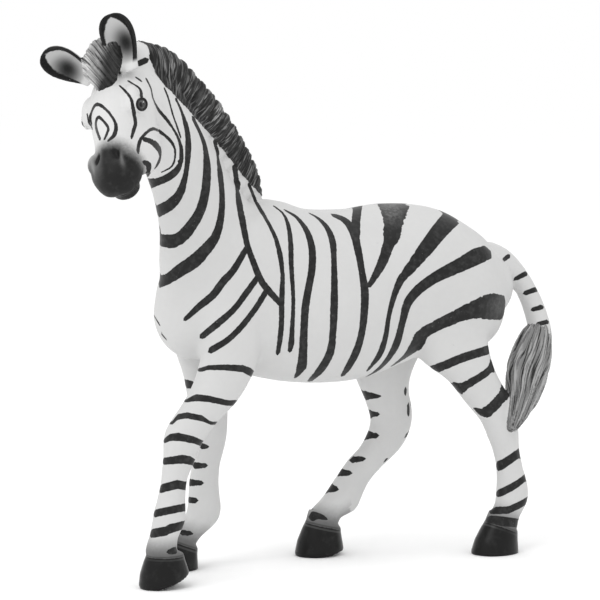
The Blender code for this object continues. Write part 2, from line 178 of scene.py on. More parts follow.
def round_section(angle, ahead, behind, half_width):
    """A point of an oval ring whose two halves may have their own depths."""
    depth = ahead if math.cos(angle) > 0 else behind
    return depth * math.cos(angle), half_width * math.sin(angle)


def ring(mesh, sides, place):
    """A closed ring of edges, with each corner put where place(angle) says."""
    corners = bmesh.ops.create_circle(mesh, segments=sides)["verts"]
    for k, corner in enumerate(corners):
        corner.co = place(2 * math.pi * k / sides)
    return list({edge for corner in corners for edge in corner.link_edges})


def skin_over(mesh, rings):
    """Bridges each ring to the next and caps both ends."""
    for first, second in zip(rings, rings[1:]):
        bmesh.ops.bridge_loops(mesh, edges=first + second)
    for end in (rings[0], rings[-1]):
        bmesh.ops.contextual_create(mesh, geom=end)


def path_frames(rows, between, right=(0, 1, 0)):
    """The rows of a path with their directions: along, ahead and to the side."""
    rows = smooth_rows(rows, between)
    along = tangents(rows[:, :3])
    right = np.array(right, float)
    side = right - along * (along @ right)[:, None]
    side /= np.linalg.norm(side, axis=1)[:, None]
    return rows, along, np.cross(side, along), side


def loft(mesh, rows, sides=20, between=3, shape=round_section, right=(0, 1, 0)):
    """A closed body round a path; shape gives each ring's point from its angle."""
    rings = []
    for row, along, ahead, side in zip(*path_frames(rows, between, right)):

        def place(angle):
            out, across = shape(angle, *row[3:])
            return Vector(row[:3] + ahead * out + side * across)

        rings.append(ring(mesh, sides, place))
    skin_over(mesh, rings)


def ball(mesh, centre, sizes, axes=None):
    """An oval lump: its half-sizes lie along the given axes, or along X, Y and Z."""
    columns = axes or (Vector((1, 0, 0)), Vector((0, 1, 0)), Vector((0, 0, 1)))
    turned = Matrix([list(c) for c in columns]).transposed().to_4x4()
    place = Matrix.Translation(centre) @ turned @ Matrix.Diagonal((*sizes, 1))
    bmesh.ops.create_icosphere(mesh, subdivisions=3, radius=1, matrix=place)


def clay(makers, name):
    """The forms that the makers add, in millimetres, in one mesh."""
    mesh = bmesh.new()
    for maker in makers:
        maker(mesh)
    bmesh.ops.recalc_face_normals(mesh, faces=mesh.faces)
    data = bpy.data.meshes.new(name)
    mesh.to_mesh(data)
    mesh.free()
    return data


# %% [markdown]
# ## Trunk and neck
# The barrel is deepest just behind the elbow and tucks up at the flank. A row is
# x, y, z, half-size ahead of the path, half-size behind it, half-width; ahead of the
# path is up on the trunk. Shoulder, haunch and breast are lumps laid over the loft,
# because a muscle is easier to move as a lump of its own.

# %% Trunk and neck
TRUNK = [
    (47.6, 0, 59.5, 1.5, 2.0, 1.6),
    (46.6, 0, 58.8, 3.6, 4.6, 4.2),
    (44.0, 0, 57.4, 7.4, 8.8, 7.6),
    (39.0, 0, 56.6, 11.4, 11.6, 10.4),
    (33.0, 0, 56.0, 15.0, 13.2, 12.0),
    (26.0, 0, 55.5, 16.9, 14.4, 12.6),
    (19.0, 0, 54.8, 17.8, 15.8, 12.6),
    (12.0, 0, 54.0, 17.7, 17.0, 13.1),
    (5.0, 0, 53.8, 17.8, 17.2, 13.2),
    (-2.0, 0, 54.0, 18.2, 16.8, 12.6),
    (-8.5, 0, 54.8, 19.2, 16.2, 11.6),
    (-14.0, 0, 55.2, 18.0, 15.4, 10.6),
    (-19.5, 0, 55.0, 15.0, 13.8, 9.6),
    (-24.5, 0, 54.4, 10.5, 11.2, 8.4),
    (-28.4, 0, 54.0, 6.2, 7.0, 6.0),
    (-30.4, 0, 53.6, 2.4, 3.0, 2.8),
]
NECK = [
    (-16.0, 0, 57.0, 14.6, 13.6, 8.6),
    (-19.6, -0.2, 64.5, 12.4, 12.0, 7.5),
    (-22.6, -0.8, 71.2, 9.8, 8.9, 6.1),
    (-25.6, -2.2, 77.6, 8.0, 7.8, 5.3),
    (-29.2, -4.2, 84.2, 7.0, 7.6, 4.9),
    (-33.4, -6.6, 90.0, 6.4, 7.4, 4.8),
    (-38.0, -8.8, 94.6, 5.8, 6.4, 4.8),
    (-41.5, -9.8, 96.4, 4.6, 4.8, 4.2),
]


def add_trunk(mesh):
    """Barrel, rump and chest, with the muscle masses of shoulder and haunch."""
    loft(mesh, TRUNK, sides=28)
    ball(mesh, Vector((-22.8, 0, 52.0)), (8.8, 8.0, 9.4))
    for side in (-1, 1):
        ball(mesh, Vector((-13.0, side * 5.2, 58.5)), (8.0, 5.2, 13.0))
        ball(mesh, Vector((33.0, side * 5.8, 54.0)), (10.6, 6.4, 13.0))
        ball(mesh, Vector((38.0, side * 5.2, 52.0)), (6.8, 4.8, 9.4))


def add_neck(mesh):
    """The neck, from inside the chest to the poll, bending to the left."""
    loft(mesh, NECK, sides=24)
    ball(mesh, Vector((-39.0, -9.5, 100.6)), (4.4, 4.0, 4.0))


print("rows of the trunk and the neck:", len(TRUNK), len(NECK))

# %% [markdown]
# ## Skull and face
# The head is turned to the animal's left and nods, so it gets a frame of its own:
# down the face, to the left, and out of the forehead. Everything on the head is then
# placed in three plain numbers. Brows, eyeballs, nostril flares and the lower lip are
# small lumps, pressed on after the skull has been kneaded smooth.

# %% Skull and face
HEAD_POLL = (-46.0, -11.0, 99.1)
HEAD_TURN, HEAD_TILT, HEAD_NOD = 40.0, 16.5, 54.0
# From the poll to the lips: along the face, how far the path lies under the face line,
# half-size over the path, half-size under it, half-width
HEAD = [
    (-2.6, 4.6, 2.6, 3.4, 3.2),
    (-0.6, 4.8, 4.4, 5.0, 5.2),
    (3.0, 5.0, 6.2, 6.8, 5.9),
    (7.0, 5.2, 7.1, 7.8, 5.9),
    (10.5, 5.2, 6.9, 8.2, 5.3),
    (14.0, 5.2, 6.2, 7.6, 4.4),
    (17.2, 5.0, 5.3, 5.8, 4.1),
    (20.0, 4.8, 4.6, 4.4, 4.4),
    (22.2, 4.9, 4.0, 3.8, 4.2),
    (24.0, 5.3, 3.0, 3.0, 3.4),
    (25.1, 5.7, 1.3, 1.4, 1.9),
]


def head_axes():
    """The head's directions: down the face, to its left, and out of the forehead."""
    yaw, tilt, nod = (math.radians(a) for a in (HEAD_TURN, HEAD_TILT, HEAD_NOD))
    forward = Vector((-math.cos(yaw), -math.sin(yaw), 0))
    left = Vector((math.sin(yaw), -math.cos(yaw), 0))
    up = Vector((0, 0, 1))
    tilted_left = math.cos(tilt) * left + math.sin(tilt) * up
    tilted_up = math.cos(tilt) * up - math.sin(tilt) * left
    down_face = math.cos(nod) * forward - math.sin(nod) * tilted_up
    outward = math.sin(nod) * forward + math.cos(nod) * tilted_up
    return down_face, tilted_left, outward


HEAD_AXES = head_axes()


def in_head(along, left, over):
    """A place in the figure from one in the head's own frame."""
    down_face, leftward, outward = HEAD_AXES
    return Vector(HEAD_POLL) + along * down_face + left * leftward + over * outward


def add_skull(mesh):
    """Skull, jaw, cheeks and muzzle."""
    rows = [
        (*in_head(along, 0, -under), face, jaw, half_width)
        for along, under, face, jaw, half_width in HEAD
    ]
    loft(mesh, rows, sides=24, right=-HEAD_AXES[1])
    for side in (-1, 1):
        ball(mesh, in_head(12.0, side * 2.9, -8.6), (6.4, 2.6, 5.2), HEAD_AXES)
        ball(mesh, in_head(20.4, side * 2.6, -4.6), (3.4, 2.3, 3.5), HEAD_AXES)


def add_face(mesh):
    """Brows and eyeballs, the flares of the nostrils, and the lower lip."""
    for side in (-1, 1):
        ball(mesh, in_head(7.6, side * 4.2, -0.9), (3.3, 1.7, 1.7), HEAD_AXES)
        ball(mesh, in_head(8.9, side * 5.1, -1.8), (1.4, 1.4, 1.4), HEAD_AXES)
        ball(mesh, in_head(19.4, side * 3.1, -2.3), (2.2, 1.6, 1.7), HEAD_AXES)
    ball(mesh, in_head(21.9, 0, -8.0), (2.3, 2.8, 1.7), HEAD_AXES)


print("the lips end at", in_head(HEAD[-1][0], 0, -HEAD[-1][1]).to_tuple(1))

# %% [markdown]
# ## Legs and dock
# Each leg is one loft from inside the trunk down into its hoof. Knee, cannon, fetlock
# and pastern are only changes of thickness along it, so a plain row for each is
# enough, with the same six numbers as on the trunk. The dock is the bare, bony upper
# part of the tail.

# %% Legs and dock
LEFT_FORE = [
    (-13.5, -5.4, 63.0, 5.5, 5.0, 3.4),
    (-17.5, -6.4, 54.0, 7.6, 6.6, 4.2),
    (-19.6, -7.2, 46.0, 5.6, 7.0, 4.3),
    (-22.6, -7.7, 39.0, 4.2, 6.0, 3.9),
    (-26.2, -8.0, 33.6, 3.8, 4.1, 3.4),
    (-29.7, -8.0, 28.8, 3.9, 3.8, 3.4),
    (-30.5, -8.0, 25.4, 3.4, 3.3, 3.0),
    (-31.5, -8.0, 22.0, 2.75, 2.7, 2.3),
    (-32.2, -8.0, 18.4, 2.6, 2.8, 2.2),
    (-32.7, -8.0, 15.4, 2.9, 3.3, 2.5),
    (-33.1, -8.0, 13.0, 3.1, 3.5, 2.8),
    (-33.9, -8.0, 10.2, 2.8, 2.8, 2.5),
    (-34.6, -8.0, 7.8, 2.8, 3.3, 2.9),
    (-34.9, -8.0, 5.8, 2.9, 3.5, 3.1),
]
RIGHT_FORE = [
    (-12.0, 5.4, 63.0, 5.5, 5.0, 3.4),
    (-14.5, 6.4, 54.0, 9.0, 6.4, 4.2),
    (-15.6, 7.2, 46.0, 9.7, 6.2, 4.2),
    (-16.4, 7.7, 38.5, 5.8, 5.0, 3.8),
    (-16.6, 8.0, 32.6, 4.3, 4.2, 3.4),
    (-16.7, 8.0, 27.6, 4.1, 4.1, 3.4),
    (-16.8, 8.0, 24.2, 3.5, 3.6, 3.0),
    (-17.1, 8.0, 21.0, 3.1, 3.0, 2.4),
    (-17.3, 8.0, 17.0, 3.6, 2.8, 2.2),
    (-17.3, 8.0, 13.6, 3.9, 3.1, 2.4),
    (-17.6, 8.0, 10.8, 3.9, 3.4, 2.8),
    (-19.8, 8.0, 8.0, 2.9, 2.3, 2.5),
    (-22.2, 8.0, 6.2, 3.2, 2.9, 2.9),
    (-23.4, 8.0, 4.6, 3.4, 3.5, 3.1),
]
LEFT_HIND = [
    (33.5, -5.4, 61.0, 7.0, 7.4, 4.6),
    (32.5, -6.4, 53.0, 11.0, 10.9, 5.6),
    (31.6, -6.8, 46.0, 9.8, 9.4, 4.7),
    (34.6, -7.8, 39.6, 5.6, 5.4, 4.3),
    (37.8, -8.0, 34.2, 4.4, 4.5, 3.5),
    (41.0, -8.0, 29.4, 3.5, 4.6, 3.0),
    (42.9, -8.0, 25.4, 3.4, 3.8, 2.9),
    (44.0, -8.0, 21.4, 2.9, 2.9, 2.4),
    (44.8, -8.0, 17.4, 2.9, 3.0, 2.3),
    (45.3, -8.0, 14.0, 3.3, 3.6, 2.6),
    (45.3, -8.0, 11.4, 3.4, 3.8, 2.9),
    (44.2, -8.0, 8.6, 2.9, 3.2, 2.6),
    (43.2, -8.0, 6.8, 3.0, 3.4, 3.0),
    (42.8, -8.0, 4.8, 3.1, 3.6, 3.2),
]
RIGHT_HIND = [
    (31.0, 5.4, 61.0, 7.0, 6.0, 4.6),
    (28.0, 6.4, 53.0, 11.0, 9.6, 5.6),
    (24.8, 7.2, 45.6, 9.6, 9.2, 5.2),
    (23.8, 7.8, 38.4, 7.2, 7.2, 4.3),
    (24.6, 8.0, 32.4, 5.0, 5.2, 3.5),
    (25.8, 8.0, 27.4, 4.8, 4.9, 3.1),
    (24.4, 8.0, 23.4, 4.2, 4.4, 3.0),
    (21.4, 8.0, 19.6, 3.5, 3.2, 2.5),
    (18.4, 8.0, 16.4, 3.9, 2.8, 2.3),
    (15.8, 8.0, 13.6, 3.6, 3.6, 2.6),
    (13.8, 8.0, 11.4, 3.3, 4.3, 2.9),
    (11.4, 8.0, 9.2, 2.9, 2.8, 2.6),
    (9.8, 8.0, 7.4, 3.3, 3.4, 3.0),
    (9.2, 8.0, 5.4, 3.5, 3.6, 3.2),
]
LEGS = (LEFT_FORE, RIGHT_FORE, LEFT_HIND, RIGHT_HIND)
TAIL = [
    (43.0, 0, 62.0, 2.4, 2.4, 2.2),
    (47.2, 0, 60.6, 2.3, 2.3, 2.2),
    (50.6, -0.3, 57.6, 2.2, 2.2, 2.2),
    (53.0, -1.0, 53.8, 2.2, 2.2, 2.2),
    (54.6, -2.0, 49.6, 2.3, 2.3, 2.3),
    (55.2, -3.2, 45.2, 2.5, 2.5, 2.5),
    (54.8, -4.0, 42.0, 2.4, 2.4, 2.4),
]


def add_legs(mesh):
    """The four legs, each from inside the trunk down into its hoof."""
    for rows in LEGS:
        loft(mesh, rows, sides=16)


def add_dock(mesh):
    """The bare upper part of the tail."""
    loft(mesh, TAIL, sides=14)


print("rows of the legs:", [len(rows) for rows in LEGS], "and of the dock:", len(TAIL))

# %% [markdown]
# ## Kneading
# A voxel remesh makes one skin round overlapping lumps, and smoothing then rubs out
# their joins, as a wet thumb does. Plain smoothing would shrink the legs, so every
# smoothing step is followed by a slightly stronger step the other way: Taubin's
# method, which keeps the volume.

# %% Knead the flesh
def evaluated(name, data, modifiers):
    """The mesh that a stack of modifiers makes of another."""
    holder = bpy.data.objects.new(name, data)
    bpy.context.scene.collection.objects.link(holder)
    for kind, settings in modifiers:
        modifier = holder.modifiers.new(kind.lower(), kind)
        for setting, value in settings.items():
            setattr(modifier, setting, value)
    scene_now = bpy.context.evaluated_depsgraph_get()
    result = bpy.data.meshes.new_from_object(holder.evaluated_get(scene_now))
    bpy.data.objects.remove(holder)
    return result


def places_of(data):
    """The corners of a mesh, one row each."""
    places = np.empty(len(data.vertices) * 3, np.float32)
    data.vertices.foreach_get("co", places)
    return places.reshape(-1, 3).astype(float)


def normals_of(data):
    """The outward direction at each corner of a mesh."""
    normals = np.empty(len(data.vertices) * 3, np.float32)
    data.vertex_normals.foreach_get("vector", normals)
    return normals.reshape(-1, 3).astype(float)


def put_places(data, places):
    """Writes the corners of a mesh."""
    data.vertices.foreach_set("co", places.astype(np.float32).ravel())
    data.update()


def averaging(data):
    """A function that gives each corner the mean of its neighbours' values."""
    count = len(data.vertices)
    pairs = np.empty(len(data.edges) * 2, np.int32)
    data.edges.foreach_get("vertices", pairs)
    pairs = pairs.reshape(-1, 2)
    ends = np.concatenate([pairs[:, 0], pairs[:, 1]])
    others = np.concatenate([pairs[:, 1], pairs[:, 0]])
    neighbours = np.maximum(np.bincount(ends, minlength=count), 1)

    def mean(values):
        total = [np.bincount(ends, column[others], count) for column in values.T]
        return np.stack(total, 1) / neighbours[:, None]

    return mean


# How far a smoothing step moves each corner to its neighbours' mean, and back again
RUB, SWELL_BACK = 0.5, -0.51


def kneaded(data, grain, passes):
    """One skin round all the forms, its joins rubbed out without shrinking it."""
    settings = {"mode": "VOXEL", "voxel_size": grain}
    skin = evaluated("kneaded", data, [("REMESH", settings)])
    mean, places = averaging(skin), places_of(skin)
    for step in range(2 * passes):
        places += (mean(places) - places) * (RUB if step % 2 == 0 else SWELL_BACK)
    put_places(skin, places)
    return skin


FLESH_GRAIN, FLESH_PASSES = 0.786, 50
soft_forms = clay([add_trunk, add_neck, add_skull, add_legs, add_dock], "flesh")
flesh = kneaded(soft_forms, FLESH_GRAIN, FLESH_PASSES)
print("flesh:", len(flesh.vertices), "corners")

# %% [markdown]
# ## Ears
# An ear is a leaf rolled into a cup: round at the back, with a thick rim round a deep
# hollow. It is lofted from root to tip with a ring that carries the rim and the hollow,
# which keeps it one closed form, ready to be pressed on to the head.

# %% Ears
# In the head's frame, from root to tip: along the face, to the left, over the face
EARS = {
    "left": ((1.5, 4.4, 0.0), (-5.4, 4.9, 8.6)),
    "right": ((0.0, -4.2, -0.6), (-1.9, -9.9, 8.0)),
}
# Share of the ear's length, half-width, depth of the back, height of the hollow
EAR = [
    (0.0, 1.7, 1.9, 1.4),
    (0.14, 2.0, 2.2, 0.7),
    (0.30, 2.6, 2.4, -0.9),
    (0.50, 3.15, 2.3, -1.6),
    (0.68, 3.3, 2.0, -1.5),
    (0.84, 2.9, 1.6, -0.9),
    (0.95, 2.0, 1.0, -0.2),
    (1.0, 0.9, 0.5, 0.3),
]


def ear_shape(angle, half_width, back, hollow):
    """A leaf-like ring: a round back, thick edges, and a hollow at the front."""
    if math.cos(angle) < 0:
        return back * math.cos(angle), half_width * math.sin(angle)
    across = math.sin(angle)
    lip = 0.62 * max(0.0, 1 - abs((abs(across) - 0.84) / 0.2))
    dip = hollow * max(0.0, 1 - (across / 0.86) ** 2) ** 0.6
    return dip + lip, half_width * across


def ear_frame(root, tip):
    """Root, length, and the directions along, out of the hollow and across an ear."""
    start, end = in_head(*root), in_head(*tip)
    along = (end - start).normalized()
    down_face, leftward, outward = HEAD_AXES
    side_sign = 1 if root[1] > 0 else -1
    facing = outward * 0.75 + down_face * 0.6 + leftward * 0.2 * side_sign
    facing = (facing - along * facing.dot(along)).normalized()
    return start, (end - start).length, along, facing, along.cross(facing)


def add_ears(mesh):
    """Both cupped ears, open towards the front of the face."""
    for root, tip in EARS.values():
        start, length, along, facing, right = ear_frame(root, tip)
        rows = [(*(start + along * length * share), *sizes) for share, *sizes in EAR]
        loft(mesh, rows, sides=48, between=5, shape=ear_shape, right=right)


print("ear lengths in mm:", [round(ear_frame(*ends)[1], 1) for ends in EARS.values()])

# %% [markdown]
# ## Hooves
# A hoof is a slanted cone with a level sole, a toe wall longer than the heel, and a
# ridge at the top, the coronet, where horn meets hair. Rings of falling size give it,
# and one matrix per hoof turns it and lifts its heel.

# %% Hooves
# Toe x, y, heel lift in degrees, turn in degrees, share of the full height of each hoof
HOOVES = {
    "left_fore": (-38.7, -8.0, 17.0, 6.0, 0.85),
    "right_fore": (-30.0, 8.0, 0.0, -4.0, 1.0),
    "left_hind": (36.4, -8.0, 0.0, 4.0, 1.0),
    "right_hind": (3.4, 8.0, 8.0, -4.0, 1.0),
}
HOOF_LENGTH, HOOF_TOE_HEIGHT, HOOF_HEEL_HEIGHT, HOOF_WIDTH = 10.4, 7.2, 3.8, 8.6
HOOF_MIDDLE = (HOOF_TOE_HEIGHT + HOOF_HEEL_HEIGHT) / 2
HOOF_SLOPE = (HOOF_TOE_HEIGHT - HOOF_HEEL_HEIGHT) / 2
# Height share, half-length, half-width, how far the ring sits behind the toe
HOOF_RINGS = [
    (-0.12, 0.98, 0.98, 0.02),
    (0.06, 1.0, 1.0, 0.0),
    (0.4, 0.91, 0.94, 0.08),
    (0.75, 0.76, 0.83, 0.22),
    (0.95, 0.67, 0.75, 0.33),
    (1.1, 0.62, 0.7, 0.36),
    (1.25, 0.52, 0.6, 0.36),
]


def hoof_place(hoof):
    """The matrix that puts a hoof drawn at the origin where it stands."""
    toe_x, toe_y, heel_lift, hoof_turn, tall = HOOVES[hoof]
    return (
        Matrix.Translation((toe_x, toe_y, 0))
        @ Matrix.Rotation(math.radians(hoof_turn), 4, "Z")
        @ Matrix.Rotation(math.radians(-heel_lift), 4, "Y")
        @ Matrix.Diagonal((1, 1, tall, 1))
    )


def add_hooves(mesh):
    """All four hooves."""
    half = HOOF_LENGTH / 2
    for hoof in HOOVES:
        place, rings = hoof_place(hoof), []
        for height, length, width, setback in HOOF_RINGS:

            def corner(angle):
                x = half * (1 - length * math.cos(angle)) + setback * half
                y = HOOF_WIDTH / 2 * width * math.sin(angle)
                rise = HOOF_MIDDLE + HOOF_SLOPE * math.cos(angle)
                return place @ Vector((x, y, height * rise))

            rings.append(ring(mesh, 32, corner))
        skin_over(mesh, rings)


print("hooves:", list(HOOVES))

# %% [markdown]
# ## Mane, forelock and tuft
# Plastic hair is a mass with grooves in it. The mane is a wall along the crest, cut
# into locks by making its rings thinner at regular steps. The forelock and the tuft
# are lofts whose rings carry shallow grooves. The fine strands are scratched in later,
# once all is one skin.

# %% Hair masses
# Along the crest, from the withers to the poll: x, y, z, height over the path,
# depth under it, half-thickness
MANE = [
    (-9.6, 0, 73.4, 1.2, 2.4, 1.2),
    (-12.6, -0.2, 77.0, 3.8, 5.4, 2.5),
    (-16.4, -0.7, 81.4, 5.0, 6.8, 3.1),
    (-20.3, -1.9, 85.8, 5.4, 7.4, 3.3),
    (-24.4, -3.6, 90.2, 5.4, 7.6, 3.4),
    (-28.7, -5.6, 94.4, 4.9, 7.6, 3.4),
    (-33.0, -7.5, 97.8, 4.8, 7.2, 3.3),
    (-36.4, -8.8, 99.6, 4.6, 6.2, 3.1),
    (-38.0, -9.2, 100.2, 3.6, 4.8, 2.4),
]
MANE_LOCKS, MANE_GROOVE = 16, 0.2
# In the head's frame: along the face, over the face line, half-height, half-depth,
# half-width
FORELOCK = [
    (-5.4, -0.4, 2.4, 2.4, 2.8),
    (-2.8, 2.0, 3.2, 2.6, 3.8),
    (0.4, 3.0, 2.6, 2.8, 4.1),
    (3.0, 2.4, 1.9, 2.4, 3.3),
    (5.2, 1.4, 1.0, 1.8, 1.6),
]
FORELOCK_STRANDS, FORELOCK_GROOVE = 8, 0.07
# From the dock down to the hock: x, y, z, half-sizes ahead and behind, half-width
TUFT = [
    (55.3, -3.1, 47.4, 1.3, 1.3, 1.3),
    (54.8, -3.4, 45.2, 3.2, 2.9, 2.9),
    (53.4, -4.0, 42.2, 4.4, 4.2, 3.6),
    (52.0, -4.9, 39.2, 5.0, 4.7, 3.9),
    (50.2, -6.1, 36.2, 5.2, 4.8, 3.8),
    (48.1, -7.7, 33.2, 4.5, 4.4, 3.3),
    (46.0, -9.4, 30.6, 3.3, 3.4, 2.6),
    (44.2, -10.8, 28.0, 2.2, 2.3, 1.9),
    (43.0, -11.7, 25.8, 0.9, 0.9, 0.9),
]
TUFT_STRANDS, TUFT_GROOVE = 10, 0.24


def grooved(strands, depth, twist):
    """A ring shape with shallow grooves between strands that run along the path."""

    def shape(angle, ahead, behind, half_width):
        out, across = round_section(angle, ahead, behind, half_width)
        swell = 1 - depth * (1 - abs(math.sin(angle * strands / 2 + twist)))
        return out * swell, across * swell

    return shape


def wedge_section(angle, ahead, behind, half_width):
    """A point of a ring that is thin at its crest and spreads towards its foot."""
    out, across = round_section(angle, ahead, behind, half_width)
    return out, across * (1 - 0.35 * math.cos(angle))


def add_mane(mesh):
    """The upright mane: one wall of hair, cut into locks across its length."""
    rows = smooth_rows(MANE, 10)
    for k, row in enumerate(rows):
        lock = abs(math.sin(math.pi * MANE_LOCKS * k / (len(rows) - 1)))
        groove = 1 - MANE_GROOVE * (1 - lock) ** 1.5
        row[3] *= 0.5 + groove / 2
        row[5] *= groove
    loft(mesh, rows, sides=28, between=1, shape=wedge_section)


def add_forelock(mesh):
    """The tuft between the ears, lying forward on the brow."""
    rows = [
        (*in_head(along, 0, over), height, depth, half_width)
        for along, over, height, depth, half_width in FORELOCK
    ]
    shape = grooved(FORELOCK_STRANDS, FORELOCK_GROOVE, 0.0)
    loft(mesh, rows, sides=42, shape=shape, right=-HEAD_AXES[1])


def add_tuft(mesh):
    """The grooved tuft of the tail, which reaches down to the left hock."""
    loft(mesh, TUFT, sides=60, between=5, shape=grooved(TUFT_STRANDS, TUFT_GROOVE, 0.3))


print("locks in the mane:", MANE_LOCKS, "strands in the tuft:", TUFT_STRANDS)

# %% [markdown]
# ## One skin
# The trimmings are pressed into the flesh with a much finer remesh, and only two
# light passes of smoothing, so that rims, locks and coronets stay crisp. Each
# trimming's own mesh is kept as a search tree: later it tells hair from hide.

# %% Press the trimmings on
def joined(parts, name):
    """Several meshes in one."""
    mesh = bmesh.new()
    for part in parts:
        mesh.from_mesh(part)
    data = bpy.data.meshes.new(name)
    mesh.to_mesh(data)
    mesh.free()
    return data


def tree_of(data):
    """A search tree over the triangles of a mesh."""
    mesh = bmesh.new()
    mesh.from_mesh(data)
    tree = BVHTree.FromBMesh(mesh)
    mesh.free()
    return tree


TRIMMINGS = {
    "face": add_face,
    "ears": add_ears,
    "mane": add_mane,
    "forelock": add_forelock,
    "tuft": add_tuft,
    "hooves": add_hooves,
}
SKIN_GRAIN, SKIN_PASSES = 0.29, 2
trims = {name: clay([maker], name) for name, maker in TRIMMINGS.items()}
trees = {name: tree_of(data) for name, data in trims.items()}
trees["flesh"] = tree_of(flesh)
skin = kneaded(joined([flesh, *trims.values()], "clay"), SKIN_GRAIN, SKIN_PASSES)
print("one skin:", len(skin.vertices), "corners")


# %% [markdown]
# ## Finding one's way on the skin
# Carving and painting both ask the same questions of every corner: how far is it from
# that form, where does it lie along that path, what is it in the head's frame? Helper
# functions answer them for all corners at once.

# %% Finding places
def far_from(tree, places, reach):
    """How far each place lies from a mesh, up to reach."""
    away = np.full(len(places), reach, float)
    for k, place in enumerate(places):
        found = tree.find_nearest(place, reach)
        if found[0] is not None:
            away[k] = found[3]
    return away


def ownership(places, names, reach=3.0):
    """For each named trimming: positive on it, negative elsewhere, zero at its join."""
    away = {}
    for name in ("flesh", *trims):
        data = flesh if name == "flesh" else trims[name]
        corners = places_of(data)
        near = ((places > corners.min(0) - reach) & (places < corners.max(0) + reach)).all(1)
        away[name] = np.full(len(places), reach)
        away[name][near] = far_from(trees[name], places[near], reach)
    return {
        name: np.minimum.reduce([away[k] for k in away if k != name]) - away[name]
        for name in names
    }


def on_path(rows, places, between=8, right=(0, 1, 0)):
    """For each place: millimetres along the path, ahead of it, to its side; and row."""
    rows, along, ahead, side = path_frames(rows, between, right)
    steps = np.linalg.norm(np.diff(rows[:, :3], axis=0), axis=1)
    length = np.concatenate([[0], np.cumsum(steps)])
    nearest = np.empty(len(places), int)
    for start in range(0, len(places), 20000):
        block = places[start : start + 20000]
        gaps = ((block[:, None] - rows[None, :, :3]) ** 2).sum(2)
        nearest[start : start + 20000] = gaps.argmin(1)
    away = places - rows[nearest, :3]
    forth = (away * along[nearest]).sum(1)
    out = (away * ahead[nearest]).sum(1)
    across = (away * side[nearest]).sum(1)
    return length[nearest] + forth, out, across, rows[nearest]


def head_coordinates(places):
    """Along the face, to the left, and over the face, for each place."""
    away = places - np.array(HEAD_POLL)
    return [away @ np.array(axis) for axis in HEAD_AXES]


def smooth_step(values, low, high):
    """0 below low and 1 above high, with soft ends."""
    share = np.clip((values - low) / (high - low), 0, 1)
    return share * share * (3 - 2 * share)


def groove(across, period):
    """0 on a strand's back and 1 in the groove between two strands."""
    return (1 - np.abs(np.sin(np.pi * across / period))) ** 1.5


def wander(places, size, seed):
    """Slow random drift, from -1 to 1, that is the same on every run."""
    offset = Vector((seed * 7.3, seed * 3.1, seed * 5.7))
    return np.array([noise.noise(Vector(p) / size + offset) for p in places])


def seen_at(places):
    """Where places appear in the picture."""
    away = places - np.array(EYE)
    depth = -(away @ np.array(BACK))
    x = PICTURE / 2 + PIXELS * (away @ np.array(RIGHT)) / depth
    return x - 0.5, PICTURE / 2 - PIXELS * (away @ np.array(UP)) / depth - 0.5


print("trimmings to tell apart:", list(trims))

# %% [markdown]
# The mane's hair doesn't end where its wall meets the neck: it runs on down the neck to
# a foot line, and its strands lean back, then forward, then back again. Both are kept
# as short lists along the crest.

# %% The way of the hair
# Along the crest from the withers to the poll: how far over the path the hair starts
MANE_FOOT = [
    (-2.0, 9.0), (-1.6, 4.0), (-1.0, 3.0), (-0.4, 2.2), (0.4, 1.2), (2.3, 0.7), (5.0, 0.0),
    (8.3, -0.3), (11.6, -0.5), (15.7, -0.8), (19.7, -1.1), (27.0, -2.3), (33.7, -2.9),
    (38.0, -2.8), (39.2, -2.2), (40.6, -1.4), (42.5, 0.2), (43.4, 1.5), (43.9, 2.6),
    (44.6, 7.0),
]
# Along the crest: how far a strand leans for each millimetre over the path
MANE_LEAN = [(0, -0.27), (8, -0.17), (18, 0.3), (27, 0.22), (34, -0.05), (41, -0.38)]
MANE_REACH, MANE_HALF_WIDTH, MANE_LOWEST = 2.9, 5.6, 70


def with_mane_foot(places, own):
    """Lets the mane's hair run down on to the neck, as far as its foot line."""
    chosen = (own["mane"] > -MANE_REACH) & (places[:, 2] > MANE_LOWEST)
    length, out, across, rows = on_path(MANE, places[chosen])
    over_foot = out - np.interp(length, *np.array(MANE_FOOT).T)
    over_foot = np.minimum(over_foot, MANE_HALF_WIDTH - np.abs(across))
    own["mane"][chosen] = np.minimum(over_foot, 3.0)
    own["mane"] = np.minimum(own["mane"], -own["ears"] - 0.05)
    return own


def hair_way(places, own):
    """Millimetres across and along the strands, on the form that owns each place."""
    ways = np.zeros((len(places), 2))
    chosen = own["mane"] > -0.8
    length, out, across, rows = on_path(MANE, places[chosen])
    lean = np.interp(length, *np.array(MANE_LEAN).T)
    ways[chosen] = np.stack([length + lean * out, out], 1)
    chosen = (own["tuft"] > -0.5) & (places[:, 2] < 49)
    length, out, across, rows = on_path(TUFT, places[chosen])
    around = np.arctan2(across, out)
    ways[chosen] = np.stack([around * 4.2 + 0.5 * np.sin(length / 3.1), 0.35 * length], 1)
    chosen = own["forelock"] > -0.5
    along, left, over = head_coordinates(places[chosen])
    ways[chosen] = np.stack([0.853 * left - 0.522 * along + 0.04 * left**2, 0.5 * along], 1)
    return ways


print("the mane's foot line is", round(MANE_FOOT[-1][0] - MANE_FOOT[0][0], 1), "mm long")

# %% [markdown]
# ## Carving
# The last touches of the sculptor are shallow: strands scratched into the hair,
# nostrils pushed in, the mouth drawn with a blade, lids round the eyes and creases at
# the joints. They are moves of the corners along their own normals, which can't tear
# or fold the skin as long as they stay smaller than the grain.

# %% Carve the skin
places, normals = places_of(skin), normals_of(skin)
HAIRY = ("mane", "forelock", "tuft")
